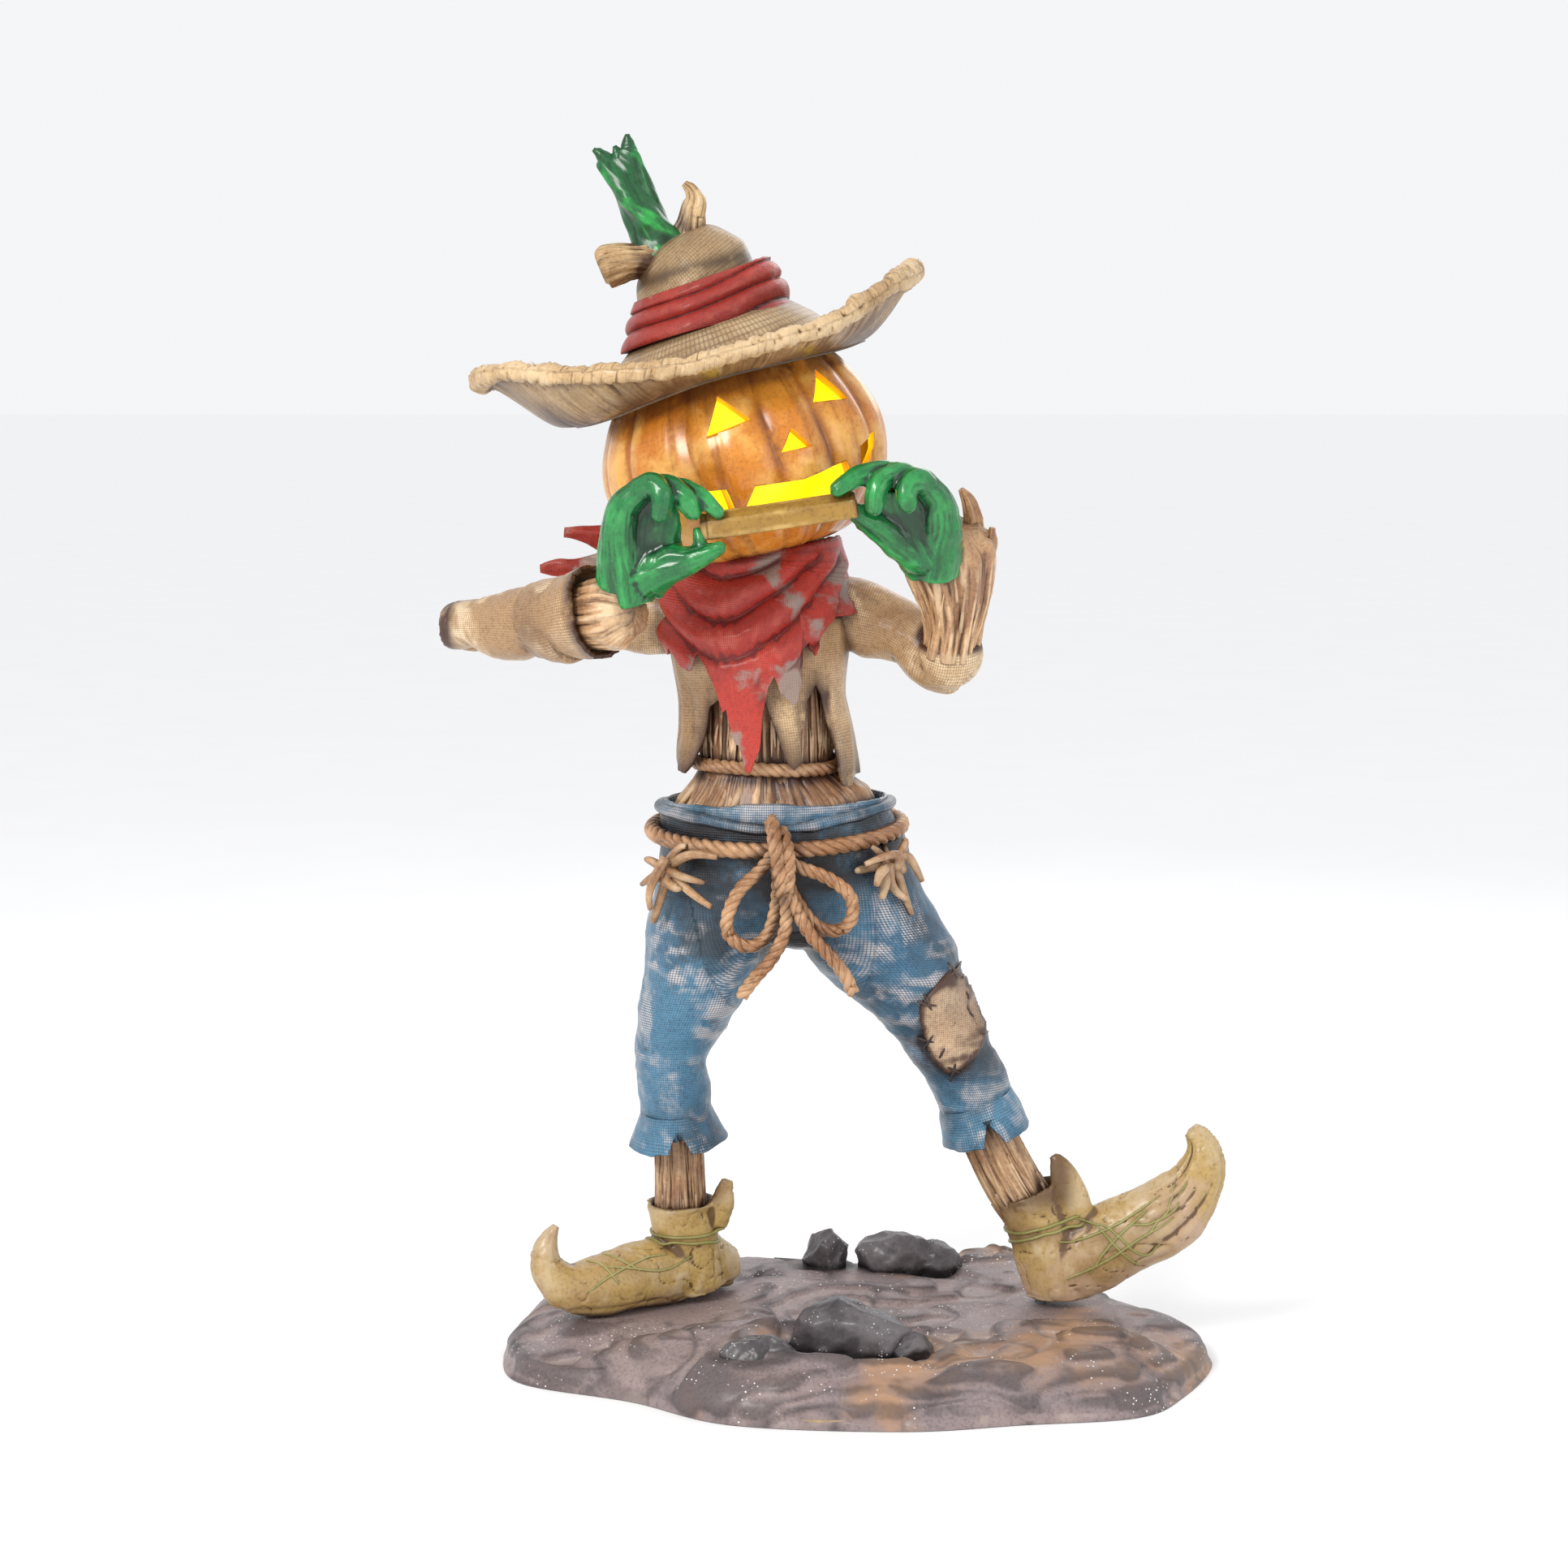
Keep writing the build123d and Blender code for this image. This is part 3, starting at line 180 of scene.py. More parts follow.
def resin(
    slot, tones, groove, worn, weave=0.0, fibres=0.0, wear=0.3, rough=0.4, bump=0.5, faded=None,
    specks=None, blotches=7.0, crease=0.9, coat=0.22, dry=0.0, streaks=0.75,
):
    """Painted and varnished resin: two tones, dark paint wash and painted shade in the hollows, worn high
    spots.
    """
    n = Net(slot)
    at = n.node("TexCoord").outputs["Object"]
    fabric = n.attribute("fabric", "Vector")
    relief, tone, wash_and_shade = (n.attribute(key) for key in ("relief", "tone", "wash_and_shade"))
    fine = n.noise(at, FINE_GRAIN, 4)
    colour = n.mix(n.ramp(n.noise(at, blotches, 5, 0.6), 0.38, 0.62), tones[0], tones[1])
    colour = n.mix(n.times(n.ramp(fine, 0.55, 0.3), 0.35), colour, groove)
    if faded:
        shade, share, scale, soft = faded
        patches = n.ramp(n.noise(at, scale, 6, 0.62), 1 - share, 1 + soft - share)
        colour = n.mix(patches, colour, shade)
    height = n.times(fine, 0.25)
    if weave:
        thread = n.weave(fabric, weave)
        if dry:
            swept = n.ramp(n.noise(at, 1.0, 6, 0.7, DRY_BRUSH_STRETCH), 0.54, 0.68)
            brushed = n.times(n.ramp(thread, 0.35, 0.8), swept)
            colour = n.mix(n.times(brushed, dry), colour, worn)
        colour = n.mix(n.times(n.ramp(thread, 0.75, 0.2), 0.42), colour, groove)
        height = n.plus(height, n.times(thread, 0.8))
    if fibres:
        strand = n.noise(fabric, 1.0, 4, 0.6, (fibres, fibres * FIBRE_SQUASH, 1.0))
        colour = n.mix(n.times(n.ramp(strand, 0.5, 0.32), streaks), colour, groove)
        colour = n.mix(n.times(n.ramp(strand, 0.56, 0.72), 0.5), colour, worn)
        height = n.plus(height, n.times(strand, 1.6))
    uneven = n.calc("SUBTRACT", n.noise(at, HOLLOW_GRAIN, 4), 0.5)
    shaken = n.plus(n.times(relief, RELIEF_GAIN), n.times(uneven, HOLLOW_GAIN))
    # Dark paint wash and painted shade in the hollows, read from the relief.
    colour = n.mix(n.times(n.ramp(shaken, -0.05, -0.75), crease), colour, groove)
    rubbed = n.times(n.ramp(shaken, 0.25, 0.8), n.ramp(n.noise(at, RUB_GRAIN, 5, 0.65), 0.42, 0.62))
    if weave:
        rubbed = n.times(rubbed, n.plus(n.times(n.ramp(thread, 0.3, 0.8), 0.8), 0.2))
    colour = n.mix(n.times(rubbed, wear), colour, worn)
    # Darkened by the piece's wash: dark paint wash, and painted shade in recesses and where pieces meet.
    darkening = n.times(wash_and_shade, n.ramp(n.noise(at, DARKENING_GRAIN, 5, 0.65), 0.25, 0.5), True)
    colour = n.mix(darkening, colour, groove)
    if specks:
        dots = n.node("TexVoronoi", Vector=at, Scale=specks[1]).outputs["Distance"]
        here = n.times(n.ramp(dots, 0.2, 0.12), n.ramp(n.noise(at, SPECK_GRAIN, 3), 0.5, 0.58))
        colour = n.mix(here, colour, specks[0])
    bright = n.plus(n.times(tone, 0.22), 1.0)
    colour = n.node("HueSaturation", Value=bright, Color=colour).outputs[0]
    normal = n.node("Bump", Strength=bump, Distance=BUMP_HEIGHT, Height=height).outputs[0]
    gloss = n.plus(n.times(n.noise(at, GLOSS_GRAIN, 3), 0.3), rough - 0.15)
    shader = n.node(
        "BsdfPrincipled", Base_Color=colour, Roughness=gloss, Coat_Weight=coat, Coat_Roughness=0.2,
        Specular_IOR_Level=0.35, Normal=normal,
    )
    return n.finish(shader.outputs[0])


def plain(slot, colour, rough, metal=0.0, grain=60.0, vary=0.72):
    """A plain worked surface with fine marks, for the parts inside and behind."""
    n = Net(slot)
    at = n.node("TexCoord").outputs["Object"]
    marks = n.noise(at, grain, 5, 0.6)
    darker = tuple(c * vary for c in colour)
    tint = n.mix(n.ramp(marks, 0.35, 0.65), darker, colour)
    normal = n.node("Bump", Strength=0.25, Distance=0.0008, Height=n.noise(at, grain * 6, 3)).outputs[0]
    gloss = n.plus(n.times(marks, 0.25), rough - 0.12)
    shader = n.node("BsdfPrincipled", Base_Color=tint, Roughness=gloss, Metallic=metal, Normal=normal)
    return n.finish(shader.outputs[0])


def glow(slot, colour, strength):
    """A glowing surface, uneven in colour and strength."""
    n = Net(slot)
    at = n.node("TexCoord").outputs["Object"]
    cloud = n.noise(at, 9, 2)
    tint = n.mix(n.ramp(cloud, 0.3, 0.7), tuple(colour), (1.0, 0.80, 0.02))
    power = n.times(n.plus(cloud, 0.6), strength)
    shader = n.node(
        "BsdfPrincipled", Base_Color=tint, Roughness=0.5, Emission_Color=tint, Emission_Strength=power
    )
    return n.finish(shader.outputs[0])


BROWN = (0.075, 0.032, 0.014)
MATERIALS = {
    "ground": resin(
        "ground", ((0.32, 0.24, 0.225), (0.23, 0.187, 0.197)), (0.03, 0.024, 0.026), (0.52, 0.42, 0.37),
        wear=0.5, rough=0.5, bump=1.0, blotches=2.6, specks=((0.75, 0.73, 0.70), 130), coat=0.2,
        faded=((0.44, 0.255, 0.15), 0.49, 2.6, 0.14), crease=0.6,
    ),
    "stone": resin(
        "stone", ((0.055, 0.048, 0.052), (0.095, 0.083, 0.088)), (0.012, 0.01, 0.012), (0.20, 0.18, 0.185),
        wear=0.5, rough=0.42, bump=1.0, specks=((0.7, 0.7, 0.7), 170), coat=0.25,
    ),
    "straw": resin(
        "straw", ((0.59, 0.345, 0.17), (0.36, 0.175, 0.083)), (0.05, 0.02, 0.012), (0.80, 0.57, 0.35),
        fibres=150.0,
        wear=0.8, rough=0.38, bump=0.9,
    ),
    "hat_straw": resin(
        "hat_straw", ((0.62, 0.42, 0.215), (0.46, 0.285, 0.13)), BROWN, (0.80, 0.60, 0.36), fibres=260.0,
        wear=0.6, rough=0.42, bump=0.8,
    ),
    "shoe": resin(
        "shoe", ((0.48, 0.32, 0.105), (0.38, 0.24, 0.105)), (0.11, 0.055, 0.022), (0.60, 0.47, 0.30),
        wear=0.6, rough=0.36, bump=0.4, faded=((0.50, 0.34, 0.22), 0.52, 3.6, 0.12), blotches=5.0,
    ),
    "shoe_lace": resin(
        "shoe_lace", ((0.30, 0.30, 0.085), (0.38, 0.33, 0.12)), (0.12, 0.09, 0.015), (0.5, 0.46, 0.2),
        wear=0.4,
    ),
    "denim": resin(
        "denim", ((0.045, 0.15, 0.26), (0.085, 0.24, 0.375)), (0.016, 0.014, 0.016), (0.66, 0.59, 0.57),
        weave=0.0036, wear=0.9, rough=0.34, bump=0.7, faded=((0.03, 0.05, 0.07), 0.52, 4.6, 0.2), dry=0.9,
    ),
    "patch": resin(
        "patch", ((0.76, 0.55, 0.36), (0.62, 0.40, 0.235)), (0.06, 0.025, 0.015), (0.80, 0.62, 0.44),
        weave=0.003, wear=0.6,
    ),
    "stitch": resin(
        "stitch", ((0.035, 0.02, 0.015), (0.06, 0.03, 0.02)), (0.01, 0.006, 0.005), (0.2, 0.12, 0.08)
    ),
    "rope": resin(
        "rope", ((0.40, 0.19, 0.082), (0.25, 0.108, 0.045)), (0.03, 0.011, 0.006), (0.66, 0.40, 0.22),
        fibres=300.0,
        wear=0.7, rough=0.36, bump=0.6, crease=0.95,
    ),
    "burlap": resin(
        "burlap", ((0.80, 0.57, 0.325), (0.46, 0.275, 0.13)), (0.06, 0.024, 0.012), (0.90, 0.71, 0.47),
        weave=0.0034, wear=1.0, rough=0.40, bump=0.45, dry=0.4, blotches=3.4, crease=1.0,
    ),
    "hat": resin(
        "hat", ((0.48, 0.32, 0.16), (0.32, 0.20, 0.095)), (0.075, 0.042, 0.02), (0.62, 0.47, 0.29),
        weave=0.0046, wear=0.6, rough=0.42, bump=0.6, dry=0.5,
    ),
    "hat_band": resin(
        "hat_band", ((0.50, 0.04, 0.022), (0.38, 0.028, 0.018)), (0.06, 0.01, 0.008), (0.62, 0.15, 0.09),
        weave=0.0024, wear=0.5, rough=0.4, faded=((0.36, 0.27, 0.225), 0.42, 6.0, 0.04), blotches=9.0,
    ),
    "neckerchief": resin(
        "neckerchief", ((0.56, 0.04, 0.022), (0.42, 0.028, 0.018)), (0.11, 0.01, 0.008), (0.70, 0.17, 0.11),
        weave=0.0024, wear=0.5, rough=0.36, faded=((0.33, 0.25, 0.21), 0.468, 3.6, 0.04),
        blotches=9.0, crease=0.75,
    ),
    "hand": resin(
        "hand", ((0.01, 0.21, 0.045), (0.007, 0.135, 0.035)), (0.003, 0.022, 0.008), (0.04, 0.42, 0.09),
        wear=0.6, rough=0.25, bump=0.3, fibres=70.0, coat=0.5,
    ),
    "stem": resin(
        "stem", ((0.008, 0.13, 0.03), (0.006, 0.07, 0.02)), (0.002, 0.01, 0.004), (0.03, 0.42, 0.07),
        wear=0.9, rough=0.33, bump=0.35, fibres=110.0, coat=0.35, crease=1.0,
    ),
    "mouth_organ": resin(
        "mouth_organ", ((0.36, 0.20, 0.035), (0.27, 0.14, 0.025)), (0.08, 0.035, 0.008), (0.62, 0.40, 0.12),
        wear=0.7, rough=0.28, bump=0.25, coat=0.45,
    ),
    "pumpkin": resin(
        "pumpkin", ((0.76, 0.30, 0.03), (0.62, 0.195, 0.015)), (0.15, 0.038, 0.01), (0.93, 0.54, 0.14),
        wear=0.7, rough=0.27, bump=0.4, fibres=34.0, coat=0.4, crease=0.95, blotches=4.5, streaks=0.6,
    ),
    "board": plain("board", (0.52, 0.37, 0.21), 0.65),
    "frame_steel": plain("frame_steel", (0.16, 0.17, 0.18), 0.5),
    "bolt_steel": plain("bolt_steel", (0.62, 0.61, 0.58), 0.35, 1.0),
    "black_plastic": plain("black_plastic", (0.03, 0.03, 0.033), 0.5),
    "rocker": plain("rocker", (0.42, 0.02, 0.012), 0.3),
    "wire": plain("wire", (0.025, 0.025, 0.025), 0.55),
    "holder": plain("holder", (0.70, 0.67, 0.60), 0.4),
    "lamp_cap": plain("lamp_cap", (0.70, 0.70, 0.68), 0.3, 1.0),
    "lamp_glass": glow("lamp_glass", (1.0, 0.85, 0.5), 3.0),
    # The cut walls of the carved face glow orange: painted lamplight on walls that are no lamp.
    "pumpkin_wall": glow("pumpkin_wall", (0.55, 0.17, 0.015), 0.25),
    "light_liner": glow("light_liner", (1.0, 0.66, 0.0), 1.5),
}
for node in frame["record"]["subparts"]:
    obj = frame["nodes"][node["node"]]
    obj.data.materials.clear()
    obj.data.materials.append(MATERIALS[node["material_slot"]])


# ------------------------------------------------------------------ shaping tools
def noise(p, size, seed=0, octaves=3):
    """Smooth noise from -1 to 1 at points p; size is the width of its largest lumps."""
    total, weight, result = 0.0, 1.0, 0.0
    for octave in range(octaves):
        q = np.asarray(p, float) / size * 2**octave + 31.7 * (seed + octave)
        cell = np.floor(q).astype(np.int64)
        f = q - cell
        f = f * f * (3 - 2 * f)
        value = 0.0
        for corner in range(8):
            offset = np.array([corner & 1, corner >> 1 & 1, corner >> 2])
            c = cell + offset
            h = (c[..., 0] * 374761393 + c[..., 1] * 668265263 + c[..., 2] * 1274126177) & 0x7FFFFFFF
            h = ((h ^ (h >> 13)) * 1103515245) & 0x7FFFFFFF
            h = (h ^ (h >> 16)) & 0xFFFF
            share = np.prod(np.where(offset == 1, f, 1 - f), axis=-1)
            value = value + share * (h / 32767.5 - 1)
        result = result + weight * value
        total += weight
        weight *= 0.5
    return result / total * 1.6


def step(value, low, high):
    """0 at low, 1 at high, smooth between."""
    x = np.clip((value - low) / (high - low), 0, 1)
    return x * x * (3 - 2 * x)


def unit(v):
    return v / np.maximum(np.linalg.norm(v, axis=-1, keepdims=True), 1e-9)


def smooth(rows, count, closed=False):
    """count rows, evenly spaced, of a smooth curve through rows; columns after x, y, z ride along."""
    rows = np.asarray(rows, float)
    if closed:
        knots = np.vstack([rows[-1:], rows, rows[:2]])
        spans = len(rows)
    else:
        knots = np.vstack([2 * rows[:1] - rows[1:2], rows, 2 * rows[-1:] - rows[-2:-1]])
        spans = len(rows) - 1
    t = np.linspace(0, spans, 24 * spans + 1)
    i = np.minimum(t.astype(int), spans - 1)
    f = (t - i)[:, None]
    a, b, c, d = (knots[i + k] for k in range(4))
    dense = 0.5 * (2 * b + (c - a) * f + (2 * a - 5 * b + 4 * c - d) * f**2 + (3 * b - a - 3 * c + d) * f**3)
    run = np.concatenate([[0], np.cumsum(np.linalg.norm(np.diff(dense[:, :3], axis=0), axis=1))])
    want = np.linspace(0, run[-1], count + 1)[:-1] if closed else np.linspace(0, run[-1], count)
    return np.stack([np.interp(want, run, dense[:, k]) for k in range(dense.shape[1])], 1), run[-1]


def axes_along(centre, closed=False):
    """Directions across and deep at each point of a path, as in the CAD, and its tangents."""
    if closed:
        tangent = unit(np.roll(centre, -1, 0) - np.roll(centre, 1, 0))
    else:
        tangent = unit(np.gradient(centre, axis=0))
    across = unit(np.cross([0.0, 1.0, 0.0], tangent))
    return across, np.cross(tangent, across), tangent


def quads(rings, sides, round_sides=True, round_rings=False):
    """Faces of a grid of points."""
    rows, cols = np.arange(rings - (not round_rings)), np.arange(sides - (not round_sides))
    i, j = (grid.ravel() for grid in np.meshgrid(rows, cols, indexing="ij"))
    i2, j2 = (i + 1) % rings, (j + 1) % sides
    return np.stack([i * sides + j, i * sides + j2, i2 * sides + j2, i2 * sides + j], 1)


def form(points, faces, fabric=None, turn=0.0, tone=None):
    """The parts of a mesh: points, lists of faces, fabric places in mm, the fabric's period, a tone."""
    points = np.asarray(points, float).reshape(-1, 3)
    count = len(points)
    fabric = np.zeros((count, 2)) if fabric is None else np.asarray(fabric, float).reshape(-1, 2)
    tone = np.zeros(count) if tone is None else np.broadcast_to(tone, (count,)).astype(float)
    return {"v": points, "f": faces, "fab": fabric, "turn": np.full(count, float(turn)), "tone": tone}


def join(*forms):
    start, faces = 0, []
    for one in forms:
        faces += [f + start for f in one["f"]]
        start += len(one["v"])
    made = {key: np.concatenate([one[key] for one in forms]) for key in ("v", "fab", "turn", "tone")}
    return {**made, "f": faces}


def tube(rows, rings=60, sides=48, caps=(True, True), shape=None, fold=None, seam=pi / 2):
    """A sweep through rows of x, y, z, half width, half depth.

    shape(angle, run, at) moves the skin out by mm.
    fold(angle, share) changes how far along the tube a point sits, from 0 to 1, for a ragged end."""
    line, length = smooth(rows, 240)
    angle = seam + np.linspace(0, tau, sides, endpoint=False)
    share = np.linspace(0, 1, rings)
    a, t = np.meshgrid(angle, share)
    where = fold(a, t) if fold else t
    across, deep, _ = axes_along(line[:, :3])
    pick = where * (len(line) - 1)
    at = [
        np.stack([np.interp(pick, np.arange(len(line)), col) for col in m.T], -1)
        for m in (line, across, deep)
    ]
    centre, wide, high = at[0][..., :3], at[0][..., 3:4], at[0][..., 4:5]
    ca, sa = np.cos(a)[..., None], np.sin(a)[..., None]
    skin = centre + at[1] * ca * wide + at[2] * sa * high
    outward = unit(at[1] * ca * high + at[2] * sa * wide)
    if shape:
        skin = skin + outward * shape(a, where * length, skin)[..., None]
    radius = float((line[:, 3] + line[:, 4]).mean() / 2)
    fabric = np.stack([(a - seam) * radius, where * length], -1)
    faces = [quads(rings, sides)]
    points, fab = skin.reshape(-1, 3), fabric.reshape(-1, 2)
    for end, wanted in enumerate(caps):
        if not wanted:
            continue
        ring = np.arange(sides) + (rings - 1) * sides * end
        middle = len(points)
        points = np.vstack([points, points[ring].mean(0)])
        fab = np.vstack([fab, fab[ring].mean(0)])
        tri = np.stack([np.roll(ring, -1), ring, np.full(sides, middle)], 1)
        faces.append(tri if end == 0 else tri[:, ::-1])
    return form(points, faces, fab, tau * radius)


def strands(paths, radii, sides=5, tone=None, closed=False):
    """Round strands; paths is (count, steps, 3) and radii (count, steps)."""
    paths, radii = np.asarray(paths, float), np.asarray(radii, float)
    count, steps = paths.shape[:2]
    if closed:
        tangent = unit(np.roll(paths, -1, 1) - np.roll(paths, 1, 1))
    else:
        tangent = unit(np.gradient(paths, axis=1))
    guide = np.where(np.abs(tangent[:, :1, 2:3]) > 0.8, [[[0.9, 0.3, 0.1]]], [[[0.1, 0.2, 0.95]]])
    a = unit(np.cross(tangent, guide))
    b = np.cross(tangent, a)
    angle = np.linspace(0, tau, sides, endpoint=False)
    ring = np.cos(angle)[:, None] * a[:, :, None] + np.sin(angle)[:, None] * b[:, :, None]
    points = paths[:, :, None] + radii[:, :, None, None] * ring
    gaps = np.linalg.norm(np.diff(paths, axis=1), axis=2)
    run = np.concatenate([np.zeros((count, 1)), np.cumsum(gaps, 1)], 1)
    fabric = np.stack(np.broadcast_arrays(angle * radii.mean() + 0 * run[..., None], run[..., None]), -1)
    one = quads(steps, sides, round_rings=closed)
    faces = [(one[None] + (np.arange(count) * steps * sides)[:, None, None]).reshape(-1, 4)]
    if not closed:
        ends = np.arange(count)[:, None] * steps * sides + np.arange(sides)
        faces += [ends[:, ::-1], ends + (steps - 1) * sides]
    tone = rng.uniform(-1, 1, count) if tone is None else np.broadcast_to(tone, count)
    return form(points, faces, fabric, tau * radii.mean(), np.repeat(tone, steps * sides))


def rope(points, radius, lay=42.0, closed=False, count=None):
    """A three-strand rope along points; lay is the length of one turn."""
    _, length = smooth(points, 40, closed)
    count = count or int(length / 3.2)
    centre, length = smooth(points, count, closed)
    turns = round(3 * length / (lay * radius / 9)) / 3
    ahead = np.roll(centre, -1, 0) - np.roll(centre, 1, 0) if closed else np.gradient(centre, axis=0)
    tangent = unit(ahead)
    side = [unit(np.cross(tangent[0], [0.23, 0.87, 0.41]))]
    for k in range(1, len(centre)):
        side.append(unit(side[-1] - tangent[k] * np.dot(side[-1], tangent[k])))
    side = np.array(side)
    other = np.cross(tangent, side)
    if closed:  # spread the small mismatch at the join over the whole loop
        twist = np.arctan2(np.dot(side[-1], other[0]), np.dot(side[-1], side[0]))
    paths = []
    for k in range(3):
        angle = tau * (np.linspace(0, turns, len(centre), endpoint=not closed) + k / 3)
        if closed:
            angle = angle - twist * np.linspace(0, 1, len(centre))
        off = np.cos(angle)[:, None] * side + np.sin(angle)[:, None] * other
        paths.append(centre + radius * 0.50 * off)
    thick = np.full((3, len(centre)), radius * 0.58)
    return strands(paths, thick, 9, tone=0.0, closed=closed)


def ball(centre, radii, rings=32, sides=48):
    """A closed ellipsoid."""
    down, round_ = np.linspace(0.02, pi - 0.02, rings), np.linspace(0, tau, sides, endpoint=False)
    t, a = np.meshgrid(down, round_, indexing="ij")
    skin = np.stack([np.sin(t) * np.cos(a), np.sin(t) * np.sin(a), np.cos(t)], -1) * radii + centre
    ends = [np.arange(sides), np.arange(sides)[::-1] + (rings - 1) * sides]
    return form(skin, [quads(rings, sides)[:, ::-1], ends[0][None], ends[1][None]])


def mesh_of(one, name="form"):
    mesh = bpy.data.meshes.new(name)
    mesh.from_pydata((one["v"] * MM).tolist(), [], [face for f in one["f"] for face in f.tolist()])
    mesh.update()
    return mesh


def read_mesh(mesh):
    """Points in mm, the faces by their number of corners, and the edges."""
    v = np.zeros(len(mesh.vertices) * 3)
    mesh.vertices.foreach_get("co", v)
    edges = np.zeros(len(mesh.edges) * 2, int)
    mesh.edges.foreach_get("vertices", edges)
    corners = np.zeros(len(mesh.loops), int)
    mesh.loops.foreach_get("vertex_index", corners)
    starts = np.zeros(len(mesh.polygons), int)
    mesh.polygons.foreach_get("loop_start", starts)
    totals = np.zeros(len(mesh.polygons), int)
    mesh.polygons.foreach_get("loop_total", totals)
    faces = []
    for size in np.unique(totals):
        chosen = starts[totals == size]
        faces.append(corners[chosen[:, None] + np.arange(size)])
    return v.reshape(-1, 3) / MM, faces, edges.reshape(-1, 2), corners, starts


def spread(values, edges, times):
    """Averages each point's values with its neighbours', several times over."""
    count = len(values)
    here, there = np.concatenate([edges[:, 0], edges[:, 1]]), np.concatenate([edges[:, 1], edges[:, 0]])
    share = np.maximum(np.bincount(here, minlength=count), 1)[:, None]
    for _ in range(times):
        values = np.stack([np.bincount(here, col[there], count) for col in values.T], 1) / share
    return values


def normals_of(v, faces):
    """Unit normals at the points, from the faces round them."""
    total = np.zeros_like(v)
    for f in faces:
        n = np.cross(v[f[:, 2]] - v[f[:, 0]], v[f[:, -1]] - v[f[:, 1]])
        for k in range(f.shape[1]):
            for col in range(3):
                total[:, col] += np.bincount(f[:, k], n[:, col], len(v))
    return unit(total)


def evaluated(mesh, set_up):
    """The mesh after the modifiers that set_up adds to a passing object."""
    ob = bpy.data.objects.new("passing", mesh)
    bpy.context.scene.collection.objects.link(ob)
    set_up(ob)
    bpy.context.view_layer.update()
    made = bpy.data.meshes.new_from_object(ob.evaluated_get(bpy.context.evaluated_depsgraph_get()))
    bpy.data.objects.remove(ob)
    return made


def fuse(parts, voxel, even=3):
    """Closed forms melted into one skin, then smoothed even times."""

    def set_up(ob):
        remesh = ob.modifiers.new("melt", "REMESH")
        remesh.mode, remesh.voxel_size = "VOXEL", voxel * MM

    v, faces, edges, _, _ = read_mesh(evaluated(mesh_of(join(*parts)), set_up))
    for _ in range(even):
        v = v + 0.6 * (spread(v, edges, 1) - v)
    return form(v, faces)


def place_on(points, limbs, steps=90):
    """For each point, the angle and distance along the nearest limb; limbs are lists of rows."""
    best = np.full(len(points), np.inf)
    angle, run, size = np.zeros(len(points)), np.zeros(len(points)), np.ones(len(points))
    start = 0.0
    for rows in limbs:
        line, length = smooth(rows, steps)
        across, deep, _ = axes_along(line[:, :3])
        radius = (line[:, 3] + line[:, 4]) / 2
        away = np.linalg.norm(points[:, None] - line[None, :, :3], axis=2) / radius
        k = away.argmin(1)
        d = away[np.arange(len(points)), k]
        out = points - line[k, :3]
        a = np.arctan2((out * deep[k]).sum(1), (out * across[k]).sum(1))
        nearer = d < best
        best = np.where(nearer, d, best)
        angle = np.where(nearer, a, angle)
        beyond = (out * np.cross(across[k], deep[k])).sum(1)
        run = np.where(nearer, start + k / (steps - 1) * length + beyond, run)
        size = np.where(nearer, radius.mean(), size)
        start += length
    return angle, run, size


def ridges(angle, run, radius, width, length, seed=0):
    """Long grooves down a limb: 1 on the crests and down to -1 in the sharp grooves."""
    p = np.stack([radius * np.cos(angle) / width, radius * np.sin(angle) / width, run / length], -1)
    return 1 - 2.2 * np.abs(noise(p, 1.0, seed, 2))


def straw_skin(depth=3.2, width=9.0, length=110.0, radius=90.0, seed=0):
    """A shape function for tube(): grooves of straw."""

    def shape(angle, run, at):
        big = ridges(angle, run, radius, width, length, seed)
        small = ridges(angle, run, radius, width * 0.45, length * 0.6, seed + 5)
        return depth * (0.7 * big + 0.35 * small - 0.35)

    return shape


def near(points, place, far, close, squash=(1, 1, 1)):
    """0 beyond far from a place, 1 within close of it; squash shortens the directions."""
    return step(np.linalg.norm((points - place) / np.array(squash), axis=1), far, close)


def bump_at(value, middle, width):
    """1 where the value is at the middle, falling away over about the width."""
    return np.exp(-(((value - middle) / width) ** 2))


def piece(name, one, slot, nodes=(), body="figure", thick=0.0, hollow=8, reach=1.6, wash_and_shade=0.0):
    """A shown piece: builds its mesh with fabric, tone and relief for the paint, and rides it on a body."""
    mesh = mesh_of(one, name)
    v, faces, edges, corners, starts = read_mesh(mesh)
    across = one["fab"][corners, 0].copy()
    turn = one["turn"][corners]
    furthest = np.repeat(np.maximum.reduceat(across, starts), np.diff(np.append(starts, len(corners))))
    across = np.where((turn > 0) & (furthest - across > turn / 2), across + turn, across)
    fabric = mesh.attributes.new("fabric", "FLOAT_VECTOR", "CORNER")
    flat = np.stack([across * MM, one["fab"][corners, 1] * MM, np.zeros(len(corners))], 1)
    fabric.data.foreach_set("vector", flat.ravel())
    normals, fine = normals_of(v, faces), spread(v, edges, hollow)
    relief = ((v - fine) * normals).sum(1) / reach
    relief = 0.75 * relief + 0.55 * ((fine - spread(fine, edges, hollow * 6)) * normals).sum(1) / (reach * 3)
    # Darkening for the paint: dark wash, and painted shade where a piece asks for it.
    wash_and_shade = np.broadcast_to(wash_and_shade, len(v))
    for key, values in (("relief", np.clip(relief, -1.5, 1.5)), ("tone", one["tone"]), ("wash_and_shade", wash_and_shade)):
        mesh.attributes.new(key, "FLOAT", "POINT").data.foreach_set("value", np.array(values, float))
    mesh.shade_smooth()
    mesh.materials.append(MATERIALS[slot])
    ob = bpy.data.objects.new(name, mesh)
    bpy.context.scene.collection.objects.link(ob)
    if thick:
        wall = ob.modifiers.new("wall", "SOLIDIFY")
        wall.thickness, wall.offset = thick * MM, -1
    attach(ob, body)
    if nodes:
        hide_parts(*nodes)
    return ob


